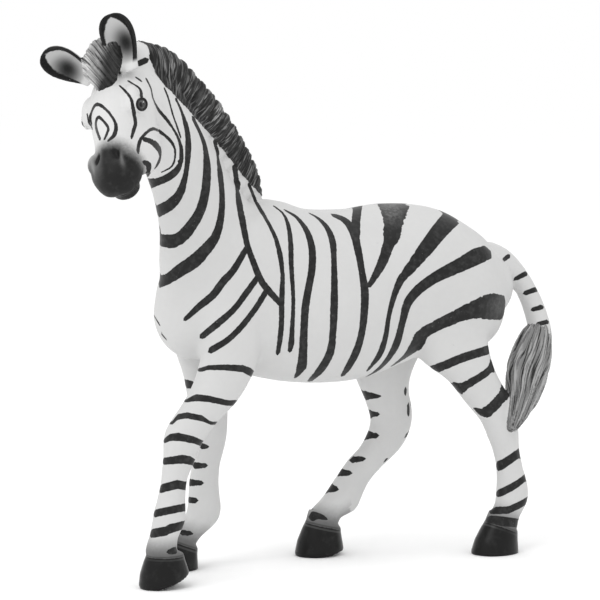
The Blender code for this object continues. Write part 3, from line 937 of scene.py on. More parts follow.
# Distances between the coarse and between the fine grooves of each, in mm
STRANDS = (("mane", 1.7, 0.75), ("forelock", 1.0, 0.6), ("tuft", 1.5, 0.9))
own = with_mane_foot(places, ownership(places, (*HAIRY, "ears")))
ways = hair_way(places, own)
drift = np.zeros(len(places))
hairy = np.maximum.reduce([own[name] for name in HAIRY]) > -0.3
drift[hairy] = wander(places[hairy], 3.0, 1)
strand = ways[:, 0] + np.where(own["forelock"] > -0.3, 0.15, 0.55) * drift
push = np.zeros(len(places))
for name, coarse, fine in STRANDS:
    depth = smooth_step(own[name], -0.05, 0.5)
    push -= depth * (0.24 * groove(strand, coarse) + 0.16 * groove(strand + 0.3, fine))
push += 0.28 * smooth_step(own["mane"], -0.2, 0.15)
print("strands: deepest", round(-push.min(), 2), "mm on", int(hairy.sum()), "corners")

# %% [markdown]
# The left eye is placed by the picture, where it shows as an upright oval, and the
# right one is its mirror image. Lids are a raised ring with a groove inside it. Each
# nostril is a slanted pit, and the mouth is one line drawn round the muzzle.

# %% Carve the face
along, left, over = head_coordinates(places)
on_head = (np.abs(left) < 9) & (along > -4) & (along < 27) & (over > -16) & (over < 6)
# The left eye's middle and its two half-sizes in the picture, and its half-size in mm
EYE_PICTURE, EYE_PICTURE_SIZE, EYE_SIZE = (140.9, 103.3), (6.2, 7.2), 1.4
# A nostril's middle, along the face and aside, its half-sizes, and its slant
NOSTRIL_AT, NOSTRIL_SIZE, NOSTRIL_SLANT = (19.5, 1.95), (1.3, 0.7), 0.25
NOSTRIL_LOWEST = -4.5


def eye_distance(places):
    """How far each place is from the eye of its side, as the picture shows it, in mm."""
    along, left, over = head_coordinates(places)
    across = np.minimum(left, 0)[:, None] * np.array(HEAD_AXES[1])
    x, y = seen_at(places - 2 * across)
    (eye_x, eye_y), (half_x, half_y) = EYE_PICTURE, EYE_PICTURE_SIZE
    away = 1.5 * np.hypot((x - eye_x) / half_x, (y - eye_y) / half_y)
    near = (np.abs(left) > 4.2) & (np.abs(left) < 8) & (along > 3) & (along < 15)
    return np.where(near & (over > -8), np.minimum(away, 9), 9.0)


def nostril_distance(along, left):
    """How far each place is from the nostril on the left: 1 at its rim."""
    forth = along - NOSTRIL_AT[0]
    aside = left - NOSTRIL_AT[1] - NOSTRIL_SLANT * forth
    return np.sqrt((forth / NOSTRIL_SIZE[0]) ** 2 + (aside / NOSTRIL_SIZE[1]) ** 2)


from_eye = eye_distance(places)
lid = np.exp(-(((from_eye - EYE_SIZE - 0.1) / 0.22) ** 2))
push += 0.2 * lid - 0.14 * np.exp(-(((from_eye - 1.1) / 0.18) ** 2))
for side in (-1, 1):
    nostril = nostril_distance(along, side * left)
    pit = 0.5 * np.exp(-(nostril**2) * 1.2)
    push -= np.where(on_head & (over > NOSTRIL_LOWEST), pit, 0)


def line_distance(points, line):
    """How far each point lies from a chain of straight pieces."""
    away = np.full(len(points), 99.0)
    for start, end in zip(np.array(line[:-1], float), np.array(line[1:], float)):
        span = end - start
        share = np.clip(((points - start) @ span) / (span @ span), 0, 1)
        away = np.minimum(away, np.linalg.norm(points - start - share[:, None] * span, axis=1))
    return away


# Along the face, aside and over the face line, from the corner of the mouth to its middle
MOUTH = [(17.2, 4.2, -7.0), (20.5, 4.2, -7.0), (23.6, 2.6, -6.6), (25.2, 0, -6.4)]
face_points = np.stack([along, np.abs(left), over], 1)
mouth = np.full(len(places), 9.0)
mouth[on_head] = line_distance(face_points[on_head], MOUTH)
push -= 0.3 * np.exp(-((mouth / 0.42) ** 2))
put_places(skin, places + normals * push[:, None])
print("carved: deepest", round(-push.min(), 2), "mm, highest", round(push.max(), 2), "mm")

# %% [markdown]
# ## Thinning
# A smooth flank needs fewer triangles than a lock of hair, and the Decimate modifier
# takes them where the skin is flattest. It would leave triangles there that are too
# large for the paint, which is stored on the corners. So the longest edges are halved
# again, down to half a millimetre on the head and a millimetre elsewhere. The soles
# are then cut level at the ground.

# %% Thin the skin and level the soles
THINNED, HEAD_EDGE, BODY_EDGE, HEAD_REACH = 100000, 0.50, 1.0, 15
skin_tree = tree_of(skin)
ratio = THINNED / (2 * len(skin.polygons))
body = evaluated("thinned", skin, [("DECIMATE", {"ratio": ratio})])
print("thinned to", len(body.polygons), "triangles")


def edges_halved(data, rounds=4):
    """Halves the edges that are longer than the paint allows."""
    mesh = bmesh.new()
    mesh.from_mesh(data)
    head_middle = in_head(11, 0, -4)
    for _ in range(rounds):
        too_long = []
        for edge_now in mesh.edges:
            size = edge_now.calc_length()
            if size > HEAD_EDGE:
                on_the_head = (edge_now.verts[0].co - head_middle).length < HEAD_REACH
                if on_the_head or size > BODY_EDGE:
                    too_long.append(edge_now)
        bmesh.ops.subdivide_edges(mesh, edges=too_long, cuts=1)
        bmesh.ops.triangulate(mesh, faces=[f for f in mesh.faces if len(f.verts) > 3])
    for corner in mesh.verts:
        corner.co = skin_tree.find_nearest(corner.co)[0]
    mesh.to_mesh(data)
    mesh.free()


edges_halved(body)


def flat_soled(data):
    """The mesh cut level at the ground, with its soles closed."""
    mesh = bmesh.new()
    mesh.from_mesh(data)
    everything = mesh.verts[:] + mesh.edges[:] + mesh.faces[:]
    cut = bmesh.ops.bisect_plane(
        mesh, geom=everything, dist=1e-4, plane_co=(0, 0, 0), plane_no=(0, 0, 1), clear_inner=True
    )
    rims = [e for e in cut["geom_cut"] if isinstance(e, bmesh.types.BMEdge)]
    bmesh.ops.edgeloop_fill(mesh, edges=rims)
    bmesh.ops.triangulate(mesh, faces=mesh.faces[:])
    bmesh.ops.recalc_face_normals(mesh, faces=mesh.faces)
    mesh.to_mesh(data)
    mesh.free()


flat_soled(body)
body_tree = tree_of(body)
places, normals = places_of(body), normals_of(body)
print("ready for paint:", len(body.polygons), "triangles")

# %% [markdown]
# ## Brush strokes
# The stripes were painted with a brush, one by one, so each is kept as a stroke: a
# few places in the picture with the brush's width there. A ray through each place
# finds the clay, as a projector would throw the pattern on to it. A texture image
# would be simpler, but a stroke stays sharp at any distance and can be mirrored to
# the side that the picture doesn't show.

# %% Projector
def clay_at(x, y):
    """The place on the clay that shows at a place in the picture."""
    over_right, over_up = (x + 0.5 - PICTURE / 2) / PIXELS, (PICTURE / 2 - y - 0.5) / PIXELS
    ray = (RIGHT * over_right + UP * over_up - BACK).normalized()
    return body_tree.ray_cast(EYE, ray)[0]


def hidden(place):
    """True if the camera can't see this place of the clay."""
    gap = Vector(place) - EYE
    hit = body_tree.ray_cast(EYE, gap.normalized())[0]
    return hit is None or (hit - EYE).length < gap.length - 0.6


# How much wider a stroke is laid than it is listed, in pixels, because its soft edge
# doesn't count as black; and how much wider it may grow where the clay turns away
BRUSH_SPREAD, MOST_SWELL = 0.9, 2.0


def laid(stroke):
    """A stroke on the clay: rows of x, y, z and half the brush's width."""
    line = smooth_rows(stroke, 8)
    found, swell = [], []
    for (x, y, width), (way_x, way_y) in zip(line, tangents(line[:, :2])):
        hit = clay_at(x, y)
        if hit is None:
            continue
        half = (width + BRUSH_SPREAD) / 2
        size = half / (PIXELS / (EYE - hit).length)
        # Where the clay turns away from the camera, the same width covers more of it
        edges = [clay_at(x - s * half * way_y, y + s * half * way_x) for s in (-1, 1)]
        gaps = [(edge - hit).length / size for edge in edges if edge is not None]
        found.append((*hit, size))
        swell.append(min([MOST_SWELL, *gaps]) if gaps else 1.0)
    if not found:
        return np.zeros((0, 4))
    padded, found = np.pad(np.array(swell), 5, mode="edge"), np.array(found)
    found[:, 3] *= np.convolve(padded, np.ones(11) / 11, mode="valid")
    return found


print("the picture's middle meets the clay at", clay_at(PICTURE / 2, PICTURE / 2).to_tuple(1))

# %% [markdown]
# ## The strokes
# Each line is one stroke, from the mane or the back downwards: x, y in the picture
# and the width there. They are grouped by how they carry on over the far side. Those
# of the neck wrap round the throat, those of the side are mirrored across the back,
# those of the trunk also begin on the spine, and those of the head are mirrored across
# the face. The face's own strokes aren't alike on its two sides, so both are listed.
# The number before a stroke is its coat.

# %% Strokes
NECK_STROKES = [
    (0, [(145.5, 78, 1), (150, 87.5, 0.8), (152.3, 98, 1.5), (157.5, 108.5, 1.5), (165, 117.5, 2.5),
     (172.5, 128, 1.5), (177.5, 137.5, 2), (180.3, 147.5, 3), (180, 161, 4), (174, 171.5, 6.5),
     (162, 179, 6.5), (148.5, 182.5, 6.5)]),
    (1, [(175, 98, 1.5), (180, 108.5, 1.5), (184.5, 122, 3.5), (187, 134, 4.5), (187.5, 149, 5.5),
     (185.5, 170, 4.2), (180.3, 189.5, 7.5), (170.8, 202.5, 10.5), (156.5, 211, 10)]),
    (0, [(192, 117, 2.5), (199.2, 131.5, 2.5), (204.3, 146, 4), (206.3, 165, 7), (205, 188, 8.2),
     (200.2, 208, 9), (191.5, 223.5, 10.5), (180.5, 236.5, 12), (171, 240.5, 13), (161, 239.5, 11)]),
    (2, [(214, 140, 3), (217.2, 157, 3.2), (219.5, 173, 4.8), (221.3, 193, 4.8), (220.6, 213, 6),
     (216, 233, 8), (206.7, 246.8, 11), (193.8, 260, 13), (180.2, 269, 12), (167.6, 278, 10),
     (159.5, 280.5, 10)]),
]
SIDE_STROKES = [
    (2, [(163.5, 87, 0.8), (167.7, 98, 1), (171.8, 113, 0.8), (176, 125, 0.8), (180, 137, 1)]),
    (0, [(234, 165, 4.5), (236, 183, 5), (239.2, 206, 5.8), (242.3, 223, 5.5), (246.3, 243, 5.2),
     (252, 259.5, 5.5), (260, 279, 6), (269, 291, 6), (281, 304, 5)]),
    (1, [(246, 247, 5), (233, 269, 6.2), (222.6, 280.5, 7), (212, 294.5, 7), (198, 306, 6),
     (184, 319, 3.5)]),
    (2, [(258, 275, 5), (245.5, 292.5, 5.5), (232.7, 309, 5.3), (218, 322, 6.3), (201, 336, 5.5)]),
    (1, [(267, 288, 5), (256, 306, 5), (242.8, 323.5, 5.3), (227.8, 338.5, 5.3), (209.5, 350, 6)]),
    (2, [(248, 183, 2.2), (255.6, 201.3, 2.2), (266.8, 220.8, 2.6), (274.6, 236.6, 3.2),
     (279.4, 254.4, 4.4), (281.8, 273, 3.6), (281.5, 289, 4.6), (281, 306, 4.8), (280.8, 322, 4.6),
     (279.3, 339, 4.4), (277, 353, 3.5)]),
    (1, [(273, 205, 0.5), (282.5, 213, 1.2), (288, 226, 3.2), (290.2, 246, 4.4), (290.5, 263, 4.2),
     (292.2, 289, 3.4), (292.6, 306, 3.2), (291.3, 331, 4.2), (290.6, 343, 5.2), (289.3, 350, 4)]),
    (0, [(284, 209, 0.8), (296.5, 217, 2.5), (306.3, 230.5, 4.6), (311.4, 248, 6.2),
     (311.3, 268, 6.6), (308.2, 286, 6.6), (304.8, 306, 7), (303.4, 327, 6.8),
     (302.4, 351, 7.8), (301, 366, 8.2), (297.5, 373, 4), (294.5, 377, 1)]),
    (1, [(309, 212.5, 0.8), (317.6, 217.5, 1.8), (326.8, 227.4, 4), (332, 241, 5.6),
     (333.3, 259, 4.8), (333.8, 284, 6), (333.4, 309, 7), (332.2, 333, 6), (329.4, 352, 7),
     (320, 369, 5.8), (309, 380.5, 2)]),
    (0, [(334, 214.5, 4), (345, 220, 5), (353, 232, 6.5), (357.6, 250, 6.6), (361, 269, 5.8),
     (364.2, 291, 7.4), (363.6, 313, 6.8), (361, 333, 6), (355.4, 351.5, 6.5), (347.7, 366.5, 4.8),
     (342, 375, 2)]),
    (2, [(356.5, 205, 8), (356.5, 211, 8), (355.3, 221, 8), (354.8, 230, 9), (357, 240, 4)]),
    (0, [(488, 251, 14), (477.5, 255, 16), (458.3, 265, 13.5), (436.3, 275.8, 10.5),
     (419, 288, 9.2), (407.3, 302, 8.2), (402, 321, 6), (396, 343, 6), (387, 359, 4),
     (376, 370, 3), (366, 376, 1)]),
    (1, [(503, 307, 24), (489, 306, 25.5), (472.3, 309.3, 19), (453, 317, 12.5), (435, 325, 11),
     (421, 334.2, 13), (416, 343.5, 11), (407, 354, 7), (392, 365, 2)]),
    (0, [(492, 347, 6), (488, 349, 7.5), (472, 354, 8), (460, 358, 8), (446, 364, 8),
     (434, 368.5, 7)]),
    (1, [(492, 365, 8), (486, 372, 6), (470, 382, 7.7), (458, 387.5, 10.5), (450, 383, 3)]),
    (2, [(506, 385, 9), (502.5, 394.5, 9.5), (493.8, 404.8, 9.7), (484, 412.3, 10.5),
     (476, 409, 5)]),
]
TRUNK_STROKES = [
    (2, [(392.5, 201, 29), (392.9, 214, 25), (392.3, 226, 19.5), (390.5, 237, 17),
     (387.6, 245, 12.5), (384, 256, 9.8), (377.5, 270, 7.6), (368.5, 285, 4)]),
    (1, [(456, 212, 18), (452.5, 215.5, 17), (438.2, 231.2, 16), (424, 249.5, 14),
     (411.5, 265.3, 10.8), (399.8, 280, 7), (392.7, 298, 5), (388, 317, 3.8), (385.2, 335, 4.3),
     (379, 354, 4.6), (367, 370, 1)]),
]
# On the forehead and the far cheek
FACE_STROKES = [
    (0, [(118.5, 84.5, 0.8), (124.7, 90.5, 1.6), (130.2, 98, 2.2), (132, 107, 3), (134.6, 122, 3),
     (132.6, 129.5, 2.8), (130.5, 137, 1.8)]),
    (1, [(90.8, 123.5, 1.5), (89.7, 116, 2.5), (92.3, 107, 2.2), (96.8, 103.3, 2.5), (105, 108.5, 2),
     (112.2, 117.5, 2), (115, 125, 2.8), (113.3, 134, 3.4), (107.3, 140, 1.5)]),
    (0, [(99, 138.5, 1.5), (94.8, 125, 1.8), (97.2, 116, 2.2), (103.5, 121.3, 1.8), (107.3, 127.3, 2),
     (106, 132.5, 1.8), (103.3, 138.5, 1.2)]),
    (2, [(86.3, 113, 0.8), (87.8, 120.5, 1), (91.5, 128, 0.8)]),
    (1, [(98, 89, 2), (104, 85.5, 3), (110, 80, 2)]),
]
# From brow to cheek on the near side
HEAD_STROKES = [
    (2, [(127.5, 80, 1), (133.5, 83.8, 1), (138.4, 87, 1.5), (140.3, 91.3, 2), (140.2, 96.5, 2)]),
    (1, [(135, 76.3, 0.8), (140.3, 80, 1)]),
    (1, [(136.8, 151.3, 2), (138.5, 141.5, 2.6), (142.5, 134.8, 2.2), (151.5, 128, 1.8),
     (160, 131.5, 1.9), (168.8, 139, 2.4), (173.4, 146, 1.7), (174.4, 155, 1.2),
     (171, 165.5, 1.1), (160.5, 171.5, 0.4)]),
    (0, [(142.5, 138, 3.5), (149.7, 140.5, 4.2), (156.8, 146, 4.6), (159.8, 152.8, 4.8),
     (158.8, 159.5, 4), (154.3, 167, 1.2)]),
    (2, [(143, 161.5, 4), (147.3, 163.5, 5), (148, 168.5, 3.4), (145.8, 174.5, 1.5)]),
    (1, [(137.3, 63, 5), (145.5, 59, 5.5)]),
]
TAIL_STROKES = [
    (2, [(503, 259.5, 3), (508.5, 255, 4)]),
    (0, [(514.5, 278.5, 3.5), (526, 272.5, 4.5)]),
    (2, [(524.5, 292.5, 4), (536, 288.5, 4.5)]),
    (0, [(532, 309, 3.5), (542, 306, 4.5)]),
    (2, [(537, 323.5, 3.5), (547.5, 321, 4)]),
]
print("listed:", len(NECK_STROKES + SIDE_STROKES + TRUNK_STROKES), "strokes on neck and trunk,",
      len(FACE_STROKES + HEAD_STROKES), "on the head")

# %% [markdown]
# ## Leg bands
# On the legs the bands run round the outside and stop short of the inner face, which
# zebras carry nearly bare. For the two near legs a band is drawn where the picture has
# it and carried round the leg by height alone. For the two far legs only the ends of
# the bands show, as spots on the front edge, so each spot gives its band's height on
# the leg and the rest of the band goes round the far face.

# %% Bands
LEFT_FORE_BANDS = [
    [(200.5, 369, 3.5), (207, 367, 4), (222.6, 366.6, 5), (241.9, 368, 6.5), (250, 371.5, 8),
     (255, 376.5, 8)],
    [(186, 400, 3), (195, 397, 6.3), (207, 398, 6), (226.4, 402.3, 5)],
    [(171.5, 422, 3), (177, 416.3, 5), (186, 414.7, 5.5), (201.4, 417.8, 5.5), (210, 422.6, 2.5)],
    [(163.8, 440, 5), (169.5, 436.7, 6.5), (178, 436.2, 7.5), (193.6, 439.5, 6.5), (204, 444, 5.5)],
    [(164.3, 460.5, 6.5), (182, 458.6, 8), (190, 460, 8), (195.5, 463, 6)],
    [(160.9, 488, 8), (176.3, 483.8, 8.5), (184, 485.3, 8)],
    [(154, 513, 7), (166.6, 510.3, 7), (185, 506.5, 7)],
    [(152.8, 532.7, 8), (165.7, 530.5, 8.5), (167, 529, 9), (185, 523.8, 7)],
]
LEFT_HIND_BANDS = [
    [(496, 466, 8), (502, 464, 8.5), (518, 453, 8)],
    [(497, 493, 6), (503, 491, 6.5), (516, 484, 6.5), (525, 477, 6)],
    [(495, 510, 6.5), (508, 509.5, 6.5), (520, 504, 6.5), (528, 499, 6)],
    [(488, 518.5, 7), (500, 520.5, 9), (517, 522.5, 8)],
]
# Spots on the front edges of the far legs: their two ends in the picture, and widths
RIGHT_FORE_SPOTS = [
    [(184, 383, 7), (194, 384, 6)],
    [(196, 445, 6), (206, 446, 4)], [(190, 465, 6), (205, 465, 4)],
    [(189, 482, 7), (201, 482.5, 4)], [(184, 499, 6), (195, 500, 5)],
    [(179, 532, 6), (190.5, 533, 4)],
]
RIGHT_HIND_SPOTS = [
    [(362, 394, 7), (370, 395, 7), (379, 395.5, 3)], [(368, 413, 7), (377, 413.5, 4)],
    [(366, 435, 8), (376, 435, 5)], [(352, 459, 7), (363, 458.3, 4.6)],
    [(338, 472, 7), (349, 472.5, 5)], [(326, 488, 9), (335, 488.5, 6)],
    [(311, 516, 9), (317, 515, 8), (325, 518, 4)],
]
# Touches of the brush at the edges of legs, tail, throat and breast, with no mirror image
EDGE_MARKS = [
    [(405, 388, 2), (405, 393, 2)], [(408, 404, 2), (408, 414, 2)],
    [(523, 316, 0.8), (524.5, 327, 1.2)], [(411, 424, 3), (408.5, 431, 2), (405, 436, 1.5)],
    [(386, 459, 2), (384, 461, 1)], [(220, 466, 2), (220, 470, 1)],
    [(219.7, 489, 2), (219.7, 494, 1)], [(156, 216, 1), (159, 228, 1.5), (160, 238, 1)],
    [(153, 314.5, 0.3), (159, 324.5, 0.6)], [(161, 333.5, 0.6), (166, 339.5, 0.3)],
    [(168, 551.3, 5), (171, 550.8, 6), (175, 549.6, 6)],
]
# Bands that the near foreleg hides: how far down the far foreleg they lie, in mm
RIGHT_FORE_HIDDEN = [31.9, 36.1]
print("listed:", len(LEFT_FORE_BANDS + LEFT_HIND_BANDS), "bands and",
      len(RIGHT_FORE_SPOTS + RIGHT_HIND_SPOTS), "spots")

# %% [markdown]
# ## Laying the strokes
# Every corner of the skin takes the stroke nearest to it and keeps two numbers: how
# far it lies to one side of the stroke's middle line, and half the brush's width
# there. The side has a sign, so the shader can find both edges of a hairline that is
# narrower than a triangle. A third number, the distance from the edge, keeps two
# neighbouring strokes from being mistaken for one, and strokes that lie close together
# are put in separate coats, whose number stands before each stroke.

# %% Lay the strokes
# Below this height the neck is straight, and the trunk's mirror serves it
NECK_BEND = 66


def trunk_mirror(points):
    """The same places on the other side of the trunk."""
    return points * (1, -1, 1)


def neck_mirror(points):
    """The same places on the other side of the bent neck."""
    length, out, across = on_path(NECK, points)[:3]
    rows, along, ahead, side = path_frames(NECK, 8)
    nearest = [int(((rows[:, :3] - p) ** 2).sum(1).argmin()) for p in points]
    other = points - 2 * across[:, None] * side[nearest]
    low = points[:, 2] < NECK_BEND
    other[low] = trunk_mirror(points[low])
    return other


def head_mirror(points):
    """The same places on the other side of the head."""
    left = head_coordinates(points)[1]
    return points - 2 * left[:, None] * np.array(HEAD_AXES[1])


def mirrored(line, mirror, brush_height=0.0):
    """A stroke carried to the far side, where neither it nor a place over it is seen."""
    other = np.array(line)
    other[:, :3] = mirror(line[:, :3])
    kept = []
    for row in other:
        spot = body_tree.find_nearest(row[:3])[0]
        if hidden(spot) and hidden(spot + Vector((0, 0, brush_height))):
            kept.append((*spot, row[3]))
    return np.array(kept)


def spine_start(line):
    """A stroke that begins on top of the back, above its first place."""
    x = line[0][0]
    top = body_tree.ray_cast(Vector((x, 0, 120)), Vector((0, 0, -1)))[0]
    return np.vstack([[*top, line[0][3]], line])


lines, layers = [], []
# A mirrored stroke stays so far below the back's edge, in mm, so that no end peeps over
BACK_CLEARANCE = 2.4
for layer, stroke in NECK_STROKES:
    line = laid(stroke)
    other = mirrored(line, neck_mirror)
    lines.append(np.vstack([line, other[::-1]]) if len(other) > 2 else line)
    layers.append(layer)
for number, stroke in enumerate(RIGHT_FORE_SPOTS + RIGHT_HIND_SPOTS):
    line = laid(stroke)
    line = line[line[:, 1] > 1]
    if len(line) > 1:
        lines.append(line)
        layers.append(number % 2)
for strokes, mirror, start in (
    (SIDE_STROKES, trunk_mirror, None),
    (TRUNK_STROKES, trunk_mirror, spine_start),
    (FACE_STROKES, None, None),
    (HEAD_STROKES, head_mirror, None),
    (TAIL_STROKES, trunk_mirror, None),
    ([(2, touch) for touch in EDGE_MARKS], None, None),
):
    for layer, stroke in strokes:
        line = laid(stroke)
        if len(line) < 2:
            continue
        line = start(line) if start else line
        lines.append(line)
        layers.append(layer)
        if mirror:
            other = mirrored(line, mirror, 0 if mirror is head_mirror else BACK_CLEARANCE)
            if len(other) > 1:
                lines.append(other)
                layers.append(layer)
print("strokes laid:", len(lines))

# %% [markdown]
# Now each piece of each stroke looks for the corners within its reach. A round brush
# leaves round ends, so past an end the stroke narrows.

# %% Paint the corners
FAR, COATS, PAINT_REACH = 9.0, 3, 2.6


def bare_coat():
    """A coat without strokes, for all corners."""
    far = np.full(len(places), FAR)
    return {"aside": far, "half": np.zeros(len(places)), "edge": far.copy()}


def take(layer, chosen, new_aside, new_half, new_edge=None):
    """Keeps the new stroke on the chosen corners where it lies nearer than the old."""
    coat = coats[layer % COATS]
    new_edge = np.abs(new_aside) - new_half if new_edge is None else new_edge
    better = new_edge < coat["edge"][chosen]
    spots = chosen[better]
    for name, values in (("aside", new_aside), ("half", new_half), ("edge", new_edge)):
        coat[name][spots] = values[better]


coats = [bare_coat() for _ in range(COATS)]
for layer, line in zip(layers, lines):
    for row, after in zip(line[:-1], line[1:]):
        span = after[:3] - row[:3]
        size = np.linalg.norm(span)
        if size < 1e-6:
            continue
        reach = max(row[3], after[3]) + PAINT_REACH + size / 2
        near = np.flatnonzero((np.abs(places - (row[:3] + after[:3]) / 2) < reach).all(1))
        share = (places[near] - row[:3]) @ span / size**2
        inside = np.clip(share, 0, 1)
        away = places[near] - row[:3] - inside[:, None] * span
        width = row[3] + (after[3] - row[3]) * inside
        beyond = np.abs(share - inside) * size
        left_of = (away * np.cross(normals[near], span)).sum(1)
        distance = np.linalg.norm(away, axis=1)
        across = np.sqrt(np.maximum(distance**2 - beyond**2, 0))
        across = np.where(left_of < 0, -across, across)
        take(layer, near, across, width - beyond, distance - width)
print("painted corners:", [int((coat["edge"] < 0).sum()) for coat in coats])

# %% [markdown]
# Bands are measured on the leg itself. A near band keeps the height that it has in the
# picture; a far band keeps its distance down the leg. Both fade out over the edge
# between the outer and the inner face.

# %% Lay the bands
# Pixels to a millimetre at the near legs, and the top of what counts as a leg, in mm
LEG_PIXELS, LEG_TOP = 5.1, 45
# Half the width of the far legs' bands, of which the picture shows only the ends
FAR_BAND_HALF = 0.75

leg_places = [on_path(rows, places) for rows in LEGS]
leg_gap = np.stack([np.hypot(f[1] / f[3][:, 3], f[2] / f[3][:, 5]) for f in leg_places])
leg_of = leg_gap.argmin(0)
on_leg = (leg_gap.min(0) < 1.7) & (places[:, 2] < LEG_TOP)
picture_x, picture_y = seen_at(places)
for leg, bands in ((0, LEFT_FORE_BANDS), (2, LEFT_HIND_BANDS)):
    chosen = np.flatnonzero(on_leg & (leg_of == leg))
    outer = -leg_places[leg][2][chosen] / leg_places[leg][3][chosen, 5]
    for number, band in enumerate(bands):
        x, y, width = np.array(band, float).T
        middle = np.interp(picture_x[chosen], x, y)
        slope = (y[-1] - y[0]) / (x[-1] - x[0])
        new_aside = (picture_y[chosen] - middle) / LEG_PIXELS / math.hypot(1, slope)
        new_half = (np.interp(picture_x[chosen], x, width) + BRUSH_SPREAD) / (2 * LEG_PIXELS)
        new_half = new_half * (0.25 + 0.75 * smooth_step(outer, -0.5, 0.1))
        new_half = new_half - 1.5 * smooth_step(-outer, 0.35, 0.8)
        take(number, chosen, new_aside, new_half)
for leg, spots, hidden_levels in (
    (1, RIGHT_FORE_SPOTS, RIGHT_FORE_HIDDEN),
    (3, RIGHT_HIND_SPOTS, []),
):
    chosen = np.flatnonzero(on_leg & (leg_of == leg))
    outer = leg_places[leg][2][chosen] / leg_places[leg][3][chosen, 5]
    found = [clay_at(spot[0][0] + 3, spot[0][1]) for spot in spots]
    levels = on_path(LEGS[leg], np.array([place for place in found if place]))[0]
    for number, level in enumerate(sorted([*levels, *hidden_levels])):
        new_aside = leg_places[leg][0][chosen] - level + 0.25 * outer
        new_half = FAR_BAND_HALF * smooth_step(outer, -0.1, 0.35)
        new_half = new_half - 1.5 * smooth_step(-outer, -0.1, 0.3)
        take(number, chosen, new_aside, new_half)
print("with the bands:", [int((coat["edge"] < 0).sum()) for coat in coats])

# %% [markdown]
# ## What the paint needs to know
# The shader can't ask where it is on the head or on a hoof, so the answers are stored
# on the corners as attributes: hair ways, the cup of the ears, distances to eyes,
# muzzle and hooves, and how hollow or raised the skin is, which drives the painted
# shade in its hollows and the dry brush on the raised strands of the hair.

# %% Store the strokes and the relief
def store(name, *columns):
    """A vector attribute on the corners of the body."""
    values = np.zeros((len(places), 3), np.float32)
    for k, column in enumerate(columns):
        values[:, k] = column
    body.attributes.new(name, "FLOAT_VECTOR", "POINT").data.foreach_set("vector", values.ravel())


for layer, coat in enumerate(coats):
    store(f"strokes {layer}", coat["aside"], coat["half"], coat["edge"])

own = with_mane_foot(places, ownership(places, (*HAIRY, "ears")))
ways = hair_way(places, own)
hair = np.maximum.reduce([own[name] for name in HAIRY])
store("hair", ways[:, 0], ways[:, 1], hair)

mean = averaging(body)
smoothed = places
for step in range(2):
    smoothed = mean(smoothed)
raised = ((places - smoothed) * normals).sum(1)
raised = mean(raised[:, None])[:, 0]
broad = places
for step in range(12):
    broad = mean(broad)
bulge = ((places - broad) * normals).sum(1)
store("relief", raised, bulge, own["mane"] > np.maximum(own["forelock"], own["tuft"]))
print("hollows deeper than 0.15 mm:", int((bulge < -0.15).sum()), "corners")

# %% [markdown]
# Hair was dry-brushed with grey over black, and more paint stayed on in some spots than
# in others. The mane is nearly black, the tuft is the lightest, and the forelock runs
# from light on its right side to black on its left.

# %% Store the tones of the hair
MANE_TONE, TUFT_TONE, FORELOCK_TONE = 0.07, 0.34, 0.30
# Patches in the mane: x, y and size in the picture, and how much lighter they are
MANE_PATCHES = [
    (214, 111, 8, 0.12), (200, 95, 6, 0.05), (259, 184, 5, 0.10), (172, 66, 8, 0.06),
    (153, 58, 7, -0.05), (181, 70, 5, -0.05), (228, 132, 9, 0.03), (241, 153, 5, -0.05),
]
along, left, over = head_coordinates(places)


def patch(x, y, size):
    """A soft round patch at a place in the picture."""
    return np.exp(-(((picture_x - x) / size) ** 2 + ((picture_y - y) / size) ** 2))


tone = np.full(len(places), MANE_TONE)
for x, y, size, light in MANE_PATCHES:
    tone += light * patch(x, y, size)
tone = np.where(own["tuft"] > -0.3, TUFT_TONE, tone)
forelock_tone = FORELOCK_TONE - 0.27 * smooth_step(left + 0.35 * along, 0.6, 3.0)
forelock_tone -= 0.25 * smooth_step(along, 4.2, 5.8)
forelock_tone += 0.26 * smooth_step(-left, 0.3, 2.2)
tone = np.where(own["forelock"] > -0.3, np.maximum(forelock_tone, 0.02), tone)
print("hair tones from", round(tone.min(), 2), "to", round(tone.max(), 2))

# %% [markdown]
# An ear has a black rim, a white cup and a soft dark spot blown into it with an
# airbrush. Each corner learns how near the rim it is, how far up the ear, and whether
# it faces out of the cup.

# %% Store the ears
# Of each ear: where the middle of the cup and of the airbrushed spot lie, aside, in mm
EAR_MIDDLES = {"left": (-0.25, 0.7), "right": (0.0, -1.1)}
# The spot's middle and half-length, as shares of the ear, and its half-width in mm
SPOT_MIDDLE, SPOT_LENGTH, SPOT_WIDTH = 0.45, 0.27, 2.3
CUP_WIDTH, CUP_MIDDLE, CUP_LENGTH = 0.68, 0.5, 0.41

ear_rim, ear_share, airbrush = np.zeros((3, len(places)))
ear_front = np.full(len(places), -1.0)
for ear, (root, tip) in EARS.items():
    start, length, ear_along, facing, right = ear_frame(root, tip)
    away = places - np.array(start)
    share = away @ np.array(ear_along) / length
    across = away @ np.array(right)
    width = np.interp(share, *np.array(EAR)[:, :2].T)
    chosen = (own["ears"] > -0.6) & (np.abs(across) < width + 1)
    chosen &= np.abs(away @ np.array(facing)) < 4
    cup, spot = EAR_MIDDLES[ear]
    rim = (across - cup) / width / CUP_WIDTH
    rim = np.sqrt(rim**2 + (np.maximum(share - CUP_MIDDLE, 0) / CUP_LENGTH) ** 2)
    ear_rim[chosen], ear_share[chosen] = rim[chosen], share[chosen]
    blown = ((share - SPOT_MIDDLE) / SPOT_LENGTH) ** 2 + ((across - spot) / SPOT_WIDTH) ** 2
    airbrush[chosen] = np.exp(-(blown**1.4))[chosen]
    ear_front[chosen] = (normals @ np.array(facing))[chosen]
store("ear", ear_rim, ear_share, ear_front)
print("ears:", int((ear_front > 0).sum()), "corners face out of the cups")
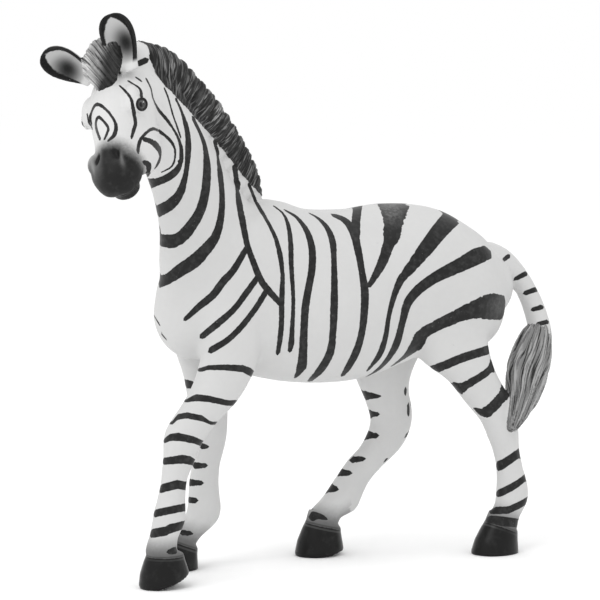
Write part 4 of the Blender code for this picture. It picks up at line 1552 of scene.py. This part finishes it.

# %% [markdown]
# On the face, each corner learns how far it is from the eye, from the middle of the
# muzzle and from a nostril. A painted highlight runs along the nostrils' flares, the
# right of the muzzle is paler, and so are patches of two stripes; these corners are
# marked, and so are the ears' airbrushed spots. The left eye gets a painted catchlight,
# and the head painted light that makes it paler than the body.

# %% Store the face
CATCHLIGHT_AT = (142.3, 100.8)
FLARE_HIGHLIGHT_AT = (20.8, 3.05)


def from_head_middle(places):
    """How far each place is from the middle of the head."""
    return np.linalg.norm(places - np.array(in_head(12, 0, -4)), axis=1)


eye = eye_distance(places)
muzzle = np.sqrt((along - 23.0) ** 2 + (left * 1.3) ** 2 + (over + 4.5) ** 2)
nostril = nostril_distance(along, np.abs(left)) + FAR * (over < NOSTRIL_LOWEST)
store("face", eye, muzzle, np.minimum(nostril, FAR))

# Patches where two stripes are paler
touch_and_highlight = 0.8 * patch(390, 208, 12) + 0.2 * patch(497, 307, 12)
# A painted highlight along the nostrils' flares; with it, the right side of the muzzle is paler.
flare = ((along - FLARE_HIGHLIGHT_AT[0]) / 1.3) ** 2 + ((np.abs(left) - FLARE_HIGHLIGHT_AT[1]) / 0.35) ** 2
bare = 0.4 * np.exp(-flare)
bare += 0.5 * smooth_step(-left, 0.0, 2.4) * smooth_step(along, 25.0, 18.0)
touch_and_highlight += np.where((from_head_middle(places) < 20) & (along > 12), bare, 0) + airbrush
light_x, light_y = CATCHLIGHT_AT
glint = ((picture_x - light_x) / 1.1) ** 2 + ((picture_y - light_y) / 1.3) ** 2
catchlight = np.exp(-glint) * (left >= 0) * (eye < 1.2)
# Paler patches, painted highlights and the ears' spots; the painted catchlight; and painted light
# that makes the head paler
store("touches and painted light", touch_and_highlight, catchlight, smooth_step(from_head_middle(places), 24, 14))
print("corners in the eyes:", int((eye < EYE_SIZE).sum()))

# %% [markdown]
# The horn of a hoof ends at a slanted line, higher at the toe than at the heel. So the
# height over that line is measured in each hoof's own directions.

# %% Store the hooves
hoof_height = np.full(len(places), FAR)
for hoof in HOOVES:
    back_home = np.array(hoof_place(hoof).inverted())
    local = places @ back_home[:3, :3].T + back_home[:3, 3]
    back, aside, up = local.T
    lean = np.clip(1.4 - back / (HOOF_LENGTH / 2) * 1.25, -1, 1)
    over_horn = up - 0.97 * (HOOF_MIDDLE + HOOF_SLOPE * lean)
    near = (back > -2) & (back < 13) & (np.abs(aside) < 7) & (up < 12)
    hoof_height = np.where(near, np.minimum(hoof_height, over_horn), hoof_height)
store("hoof", hoof_height, tone)
print("attributes:", [a.name for a in body.attributes if a.domain == "POINT"])

# %% [markdown]
# ## Shader sums
# A material here is a long sum of masks. A small class wraps a socket, so that the sum
# can be written as one, and makes the Math nodes itself.

# %% Sockets in sums
class Mark:
    """A shader socket that can be used in sums, and that makes other nodes."""

    def __init__(self, tree, socket=None):
        self.tree, self.socket = tree, socket

    def node(self, kind, settings=(), sockets=(), out=0):
        """A new node: its settings first, then values or links for its sockets."""
        made = self.tree.nodes.new("ShaderNode" + kind)
        for name, value in dict(settings).items():
            setattr(made, name, value)
        for key, value in dict(sockets).items():
            if isinstance(value, Mark):
                self.tree.links.new(value.socket, made.inputs[key])
            else:
                made.inputs[key].default_value = value
        return Mark(self.tree, made.outputs[out])

    def sum(self, operation, first, second=0.0):
        return self.node("Math", {"operation": operation}, {0: first, 1: second})

    def __add__(self, other):
        return self.sum("ADD", self, other)

    __radd__ = __add__

    def __sub__(self, other):
        return self.sum("SUBTRACT", self, other)

    def __rsub__(self, other):
        return self.sum("SUBTRACT", other, self)

    def __mul__(self, other):
        return self.sum("MULTIPLY", self, other)

    __rmul__ = __mul__

    def __abs__(self):
        return self.sum("ABSOLUTE", self)

    def most(self, other):
        """The larger of the two."""
        return self.sum("MAXIMUM", self, other)

    def step(self, low, high):
        """0 at low and 1 at high, with soft ends; low may be the larger."""
        return self.node(
            "MapRange",
            {"interpolation_type": "SMOOTHSTEP"},
            {"Value": self, "From Min": low, "From Max": high},
        )

    def toward(self, other, mask):
        """This value where the mask is 0, the other where it is 1."""
        return self + (other - self) * mask

    def attribute(self, name):
        """The three numbers of a stored attribute."""
        vector = self.node("Attribute", {"attribute_name": name}, out="Vector")
        parts = self.tree.nodes.new("ShaderNodeSeparateXYZ")
        self.tree.links.new(vector.socket, parts.inputs[0])
        return [Mark(self.tree, output) for output in parts.outputs]

    def noise(self, vector, scale, detail=2.0, roughness=0.5):
        """Cloudy noise from 0 to 1, about 0.5 on average."""
        sockets = {"Vector": vector, "Scale": scale, "Detail": detail, "Roughness": roughness}
        return self.node("TexNoise", {}, sockets)


print("sums that a mark can do:", [name for name in vars(Mark) if not name.startswith("_")])

# %% [markdown]
# ## Hand-painted plastic
# The casting is white plastic. Soot-grey and black acrylic lie over it: brushed
# stripes with slightly ragged edges, a dry brush over the hair, and an airbrush on
# the muzzle, in the ears and above the hooves. Everything is one grey value, the
# tone, which each layer of paint moves toward its own.

# %% Readings and noises
# Tones run from 0, black, to 1, white. Each is the share of light that the paint throws
# back, so the white of the plastic is less than 1.
# SHADE_GREY is painted shade, laid into the skin's broad hollows.
PLASTIC_WHITE, SHADE_GREY, CUP_WHITE = 0.565, 0.38, 0.58
STRIPE_BLACK, SOOT_BLACK, RIM_BLACK, HORN_BLACK, GROOVE_BLACK = 0.012, 0.010, 0.012, 0.007, 0.007
EYE_RIM, IRIS, PUPIL, GLINT = 0.008, 0.045, 0.006, 0.5

painted = bpy.data.materials.new("hand-painted plastic")
painted.use_nodes = True
tree = painted.node_tree
shader = tree.nodes["Principled BSDF"]
mark = Mark(tree)

where = mark.node("TexCoord", out="Object")
hair_u, hair_v, hair_own = mark.attribute("hair")
raised_m, bulge_m, kind_m = mark.attribute("relief")
ear_rim_m, ear_share_m, ear_front_m = mark.attribute("ear")
eye_m, muzzle_m, nostril_m = mark.attribute("face")
hoof_m, hair_tone, _ = mark.attribute("hoof")
touch_and_highlight_m, catch_m, head_light_m = mark.attribute("touches and painted light")

fine = mark.noise(where, 900.0, 3.0)
broad_m = mark.noise(where, 90.0, 2.0)
ragged = mark.noise(where, 1600.0, 2.0, 0.6)
streaks = mark.node(
    "CombineXYZ", {}, {"X": hair_u * 2.9, "Y": hair_v * 0.30, "Z": kind_m * 7.0}
)
strands = mark.noise(streaks, 1.0, 1.5, 0.6)
locks = mark.noise(streaks, 0.30, 1.0)
print("nodes that read and make noise:", len(tree.nodes))

# %% [markdown]
# First the white coat, with the faint unevenness of brushed white, painted light that
# makes the head a little paler, and painted shade in its hollows. Over it goes grey from
# an airbrush above the hooves, with a thin dark wash where hair meets horn, and then the
# stripes: the inside of each stroke is found again from its two numbers, and a little
# noise frays its edge.

# %% White coat and stripes
# Painted light: the head is a little paler than the body, as though the lamps fell more on it.
tone = PLASTIC_WHITE + head_light_m * 0.05 + (broad_m - 0.5) * 0.05 + (fine - 0.5) * 0.03
# Painted shade: the white turns grey in the skin's broad hollows.
hollow = bulge_m.step(-0.15, -0.6)
tone = tone.toward(SHADE_GREY, hollow * 0.5)

pastern = (hoof_m + (broad_m - 0.5) * 2.0 + (ragged - 0.5) * 0.8).step(6.3, 0.4)
tone = tone.toward(tone * 0.18 + 0.02, pastern)
tone = tone.toward(0.03, hoof_m.step(0.0, 0.15) * hoof_m.step(0.6, 0.3) * 0.6)

for layer in range(COATS):
    aside_m, half_m, edge_m = mark.attribute(f"strokes {layer}")
    inside = half_m - abs(aside_m) + (ragged - 0.5) * 0.22
    coat_mask = inside.step(-0.03, 0.05) * edge_m.step(0.75, 0.6)
    stripe = coat_mask if layer == 0 else stripe.most(coat_mask)
black = STRIPE_BLACK + (fine - 0.45).most(0.0) * 0.07
dry = mark.noise(where, 2600.0, 2.0, 0.7).step(0.66, 0.78) * 0.09
# Two stripes are paler in patches.
dry = dry + touch_and_highlight_m * (ragged.step(0.38, 0.62) * 0.10 + 0.06)
tone = tone.toward(black + dry, stripe)
print("nodes with the stripes:", len(tree.nodes))

# %% [markdown]
# The muzzle is sooty, with a soft upper edge, a painted highlight along the nostrils'
# flares, a paler right side, and black in the nostrils. The ears are white cups with a
# black rim and a dark spot.

# %% Muzzle and ears
soot = (muzzle_m + (broad_m - 0.5) * 1.6 + (ragged - 0.5) * 0.7).step(9.4, 6.2)
# The painted highlight on the flares and the paler right side lift the soot.
soot_and_highlight_tone = SOOT_BLACK + (fine - 0.5).most(0.0) * 0.05 + touch_and_highlight_m * 0.3
tone = tone.toward(soot_and_highlight_tone, soot)
tone = tone.toward(0.004, nostril_m.step(1.1, 0.6))

ear_tone = CUP_WHITE - touch_and_highlight_m * 0.57
ear_tone = ear_tone.toward(RIM_BLACK, (ear_rim_m + (ragged - 0.5) * 0.14).step(1.02, 1.12))
tone = tone.toward(ear_tone, ear_front_m.step(-0.15, 0.1) * ear_share_m.step(0.10, 0.18))
print("nodes with muzzle and ears:", len(tree.nodes))

# %% [markdown]
# Hair is black in its grooves and dry-brushed with grey on the backs of its strands.
# The noise that picks the strands is stretched along them by the stored ways of the
# hair. Eyes are rings of dark tones round a black pupil, with one painted glint. Horn is
# near black, greyer where the brush ran dry, and a shade paler along the coronet.

# %% Hair, eyes and hooves
hair_mask = (hair_own + (ragged - 0.5) * 0.4).step(-0.02, 0.12)
ridge = raised_m.step(-0.02, 0.05)
strand_light = strands.step(0.48, 0.60) * (locks.step(0.38, 0.60) * 0.9 + 0.1)
soft_hair = ridge * 0.42 + 0.05 + strands.step(0.42, 0.53) * 0.60
mane_hair = ridge * 0.10 + 0.03 + strand_light * 2.1
hair_colour = GROOVE_BLACK + hair_tone * soft_hair.toward(mane_hair, kind_m)
tone = tone.toward(hair_colour, hair_mask)

for ring_tone, outer, inner in ((EYE_RIM, 1.52, 1.42), (IRIS, 1.0, 0.9), (PUPIL, 0.62, 0.55)):
    tone = tone.toward(ring_tone, eye_m.step(outer, inner))
tone = tone.toward(GLINT, catch_m.step(0.4, 0.7) * eye_m.step(1.3, 1.2))

horn = (hoof_m + (ragged - 0.5) * 0.3).step(0.12, -0.12)
horn_tone = HORN_BLACK + (mark.noise(where, 420.0, 3.0, 0.7) - 0.52).most(0.0) * 0.05
coronet = hoof_m.step(-0.85, -0.6) * hoof_m.step(-0.2, -0.45) * broad_m.step(0.42, 0.6)
tone = tone.toward(horn_tone + coronet * 0.04, horn)
print("nodes with all the paint:", len(tree.nodes))

# %% [markdown]
# The tone becomes a colour by mixing black and a barely warm white. Stripes and horn
# shine a little more than the bare white, and the eyes most. The bump is only what is
# finer than the carving: the grain of the paint and the hairs on the strands.

# %% Colour, gloss and grain
BLACK, WARM_WHITE = (0.0, 0.0, 0.0, 1.0), (1.0, 1.0, 0.995, 1.0)
# The Mix node has a socket for every kind of value: here 0 is its factor, 6 and 7 are its
# two colours, and output 2 is the mixed colour
mix_sockets = {0: tone, 6: BLACK, 7: WARM_WHITE}
colour = mark.node("Mix", {"data_type": "RGBA"}, mix_sockets, out=2)
tree.links.new(colour.socket, shader.inputs["Base Color"])

gloss = 0.50 - stripe * 0.12 - horn * 0.2 + (fine - 0.5) * 0.1
gloss = gloss.toward(0.12, eye_m.step(1.0, 0.9))
tree.links.new(gloss.socket, shader.inputs["Roughness"])

height = fine * 0.4 + hair_mask * strands * 2.2 + (1.0 - stripe) * 0.1
bump = mark.node("Bump", {}, {"Height": height, "Distance": 0.00012, "Strength": 0.6})
tree.links.new(bump.socket, shader.inputs["Normal"])
shader.inputs["Specular IOR Level"].default_value = 0.18
print("paint nodes:", len(tree.nodes))

# %% [markdown]
# ## Into the frame
# The drawing is in millimetres. It is scaled to metres and set in the packed model's
# own box, a hundredth of a millimetre inside it, so that the render has exactly the
# size that the physics uses.

# %% Stand the zebra in the frame
INSIDE = 1e-5
low, high = places.min(axis=0), places.max(axis=0)
target_low, target_high = np.array(cad_box[0]) + INSIDE, np.array(cad_box[1]) - INSIDE
target_low[2] = cad_box[0][2]
factor = (target_high - target_low) / (high - low)
print("fit to the box:", (factor * 1000).round(4))
put_places(body, target_low + (places - low) * factor)
body.shade_smooth()
body.name = "painted zebra"
zebra = bpy.data.objects.new("painted_zebra", body)
bpy.context.scene.collection.objects.link(zebra)
body.materials.clear()
body.materials.append(painted)
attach(zebra, "root")
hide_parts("zebra")

# %% [markdown]
# ## Finish
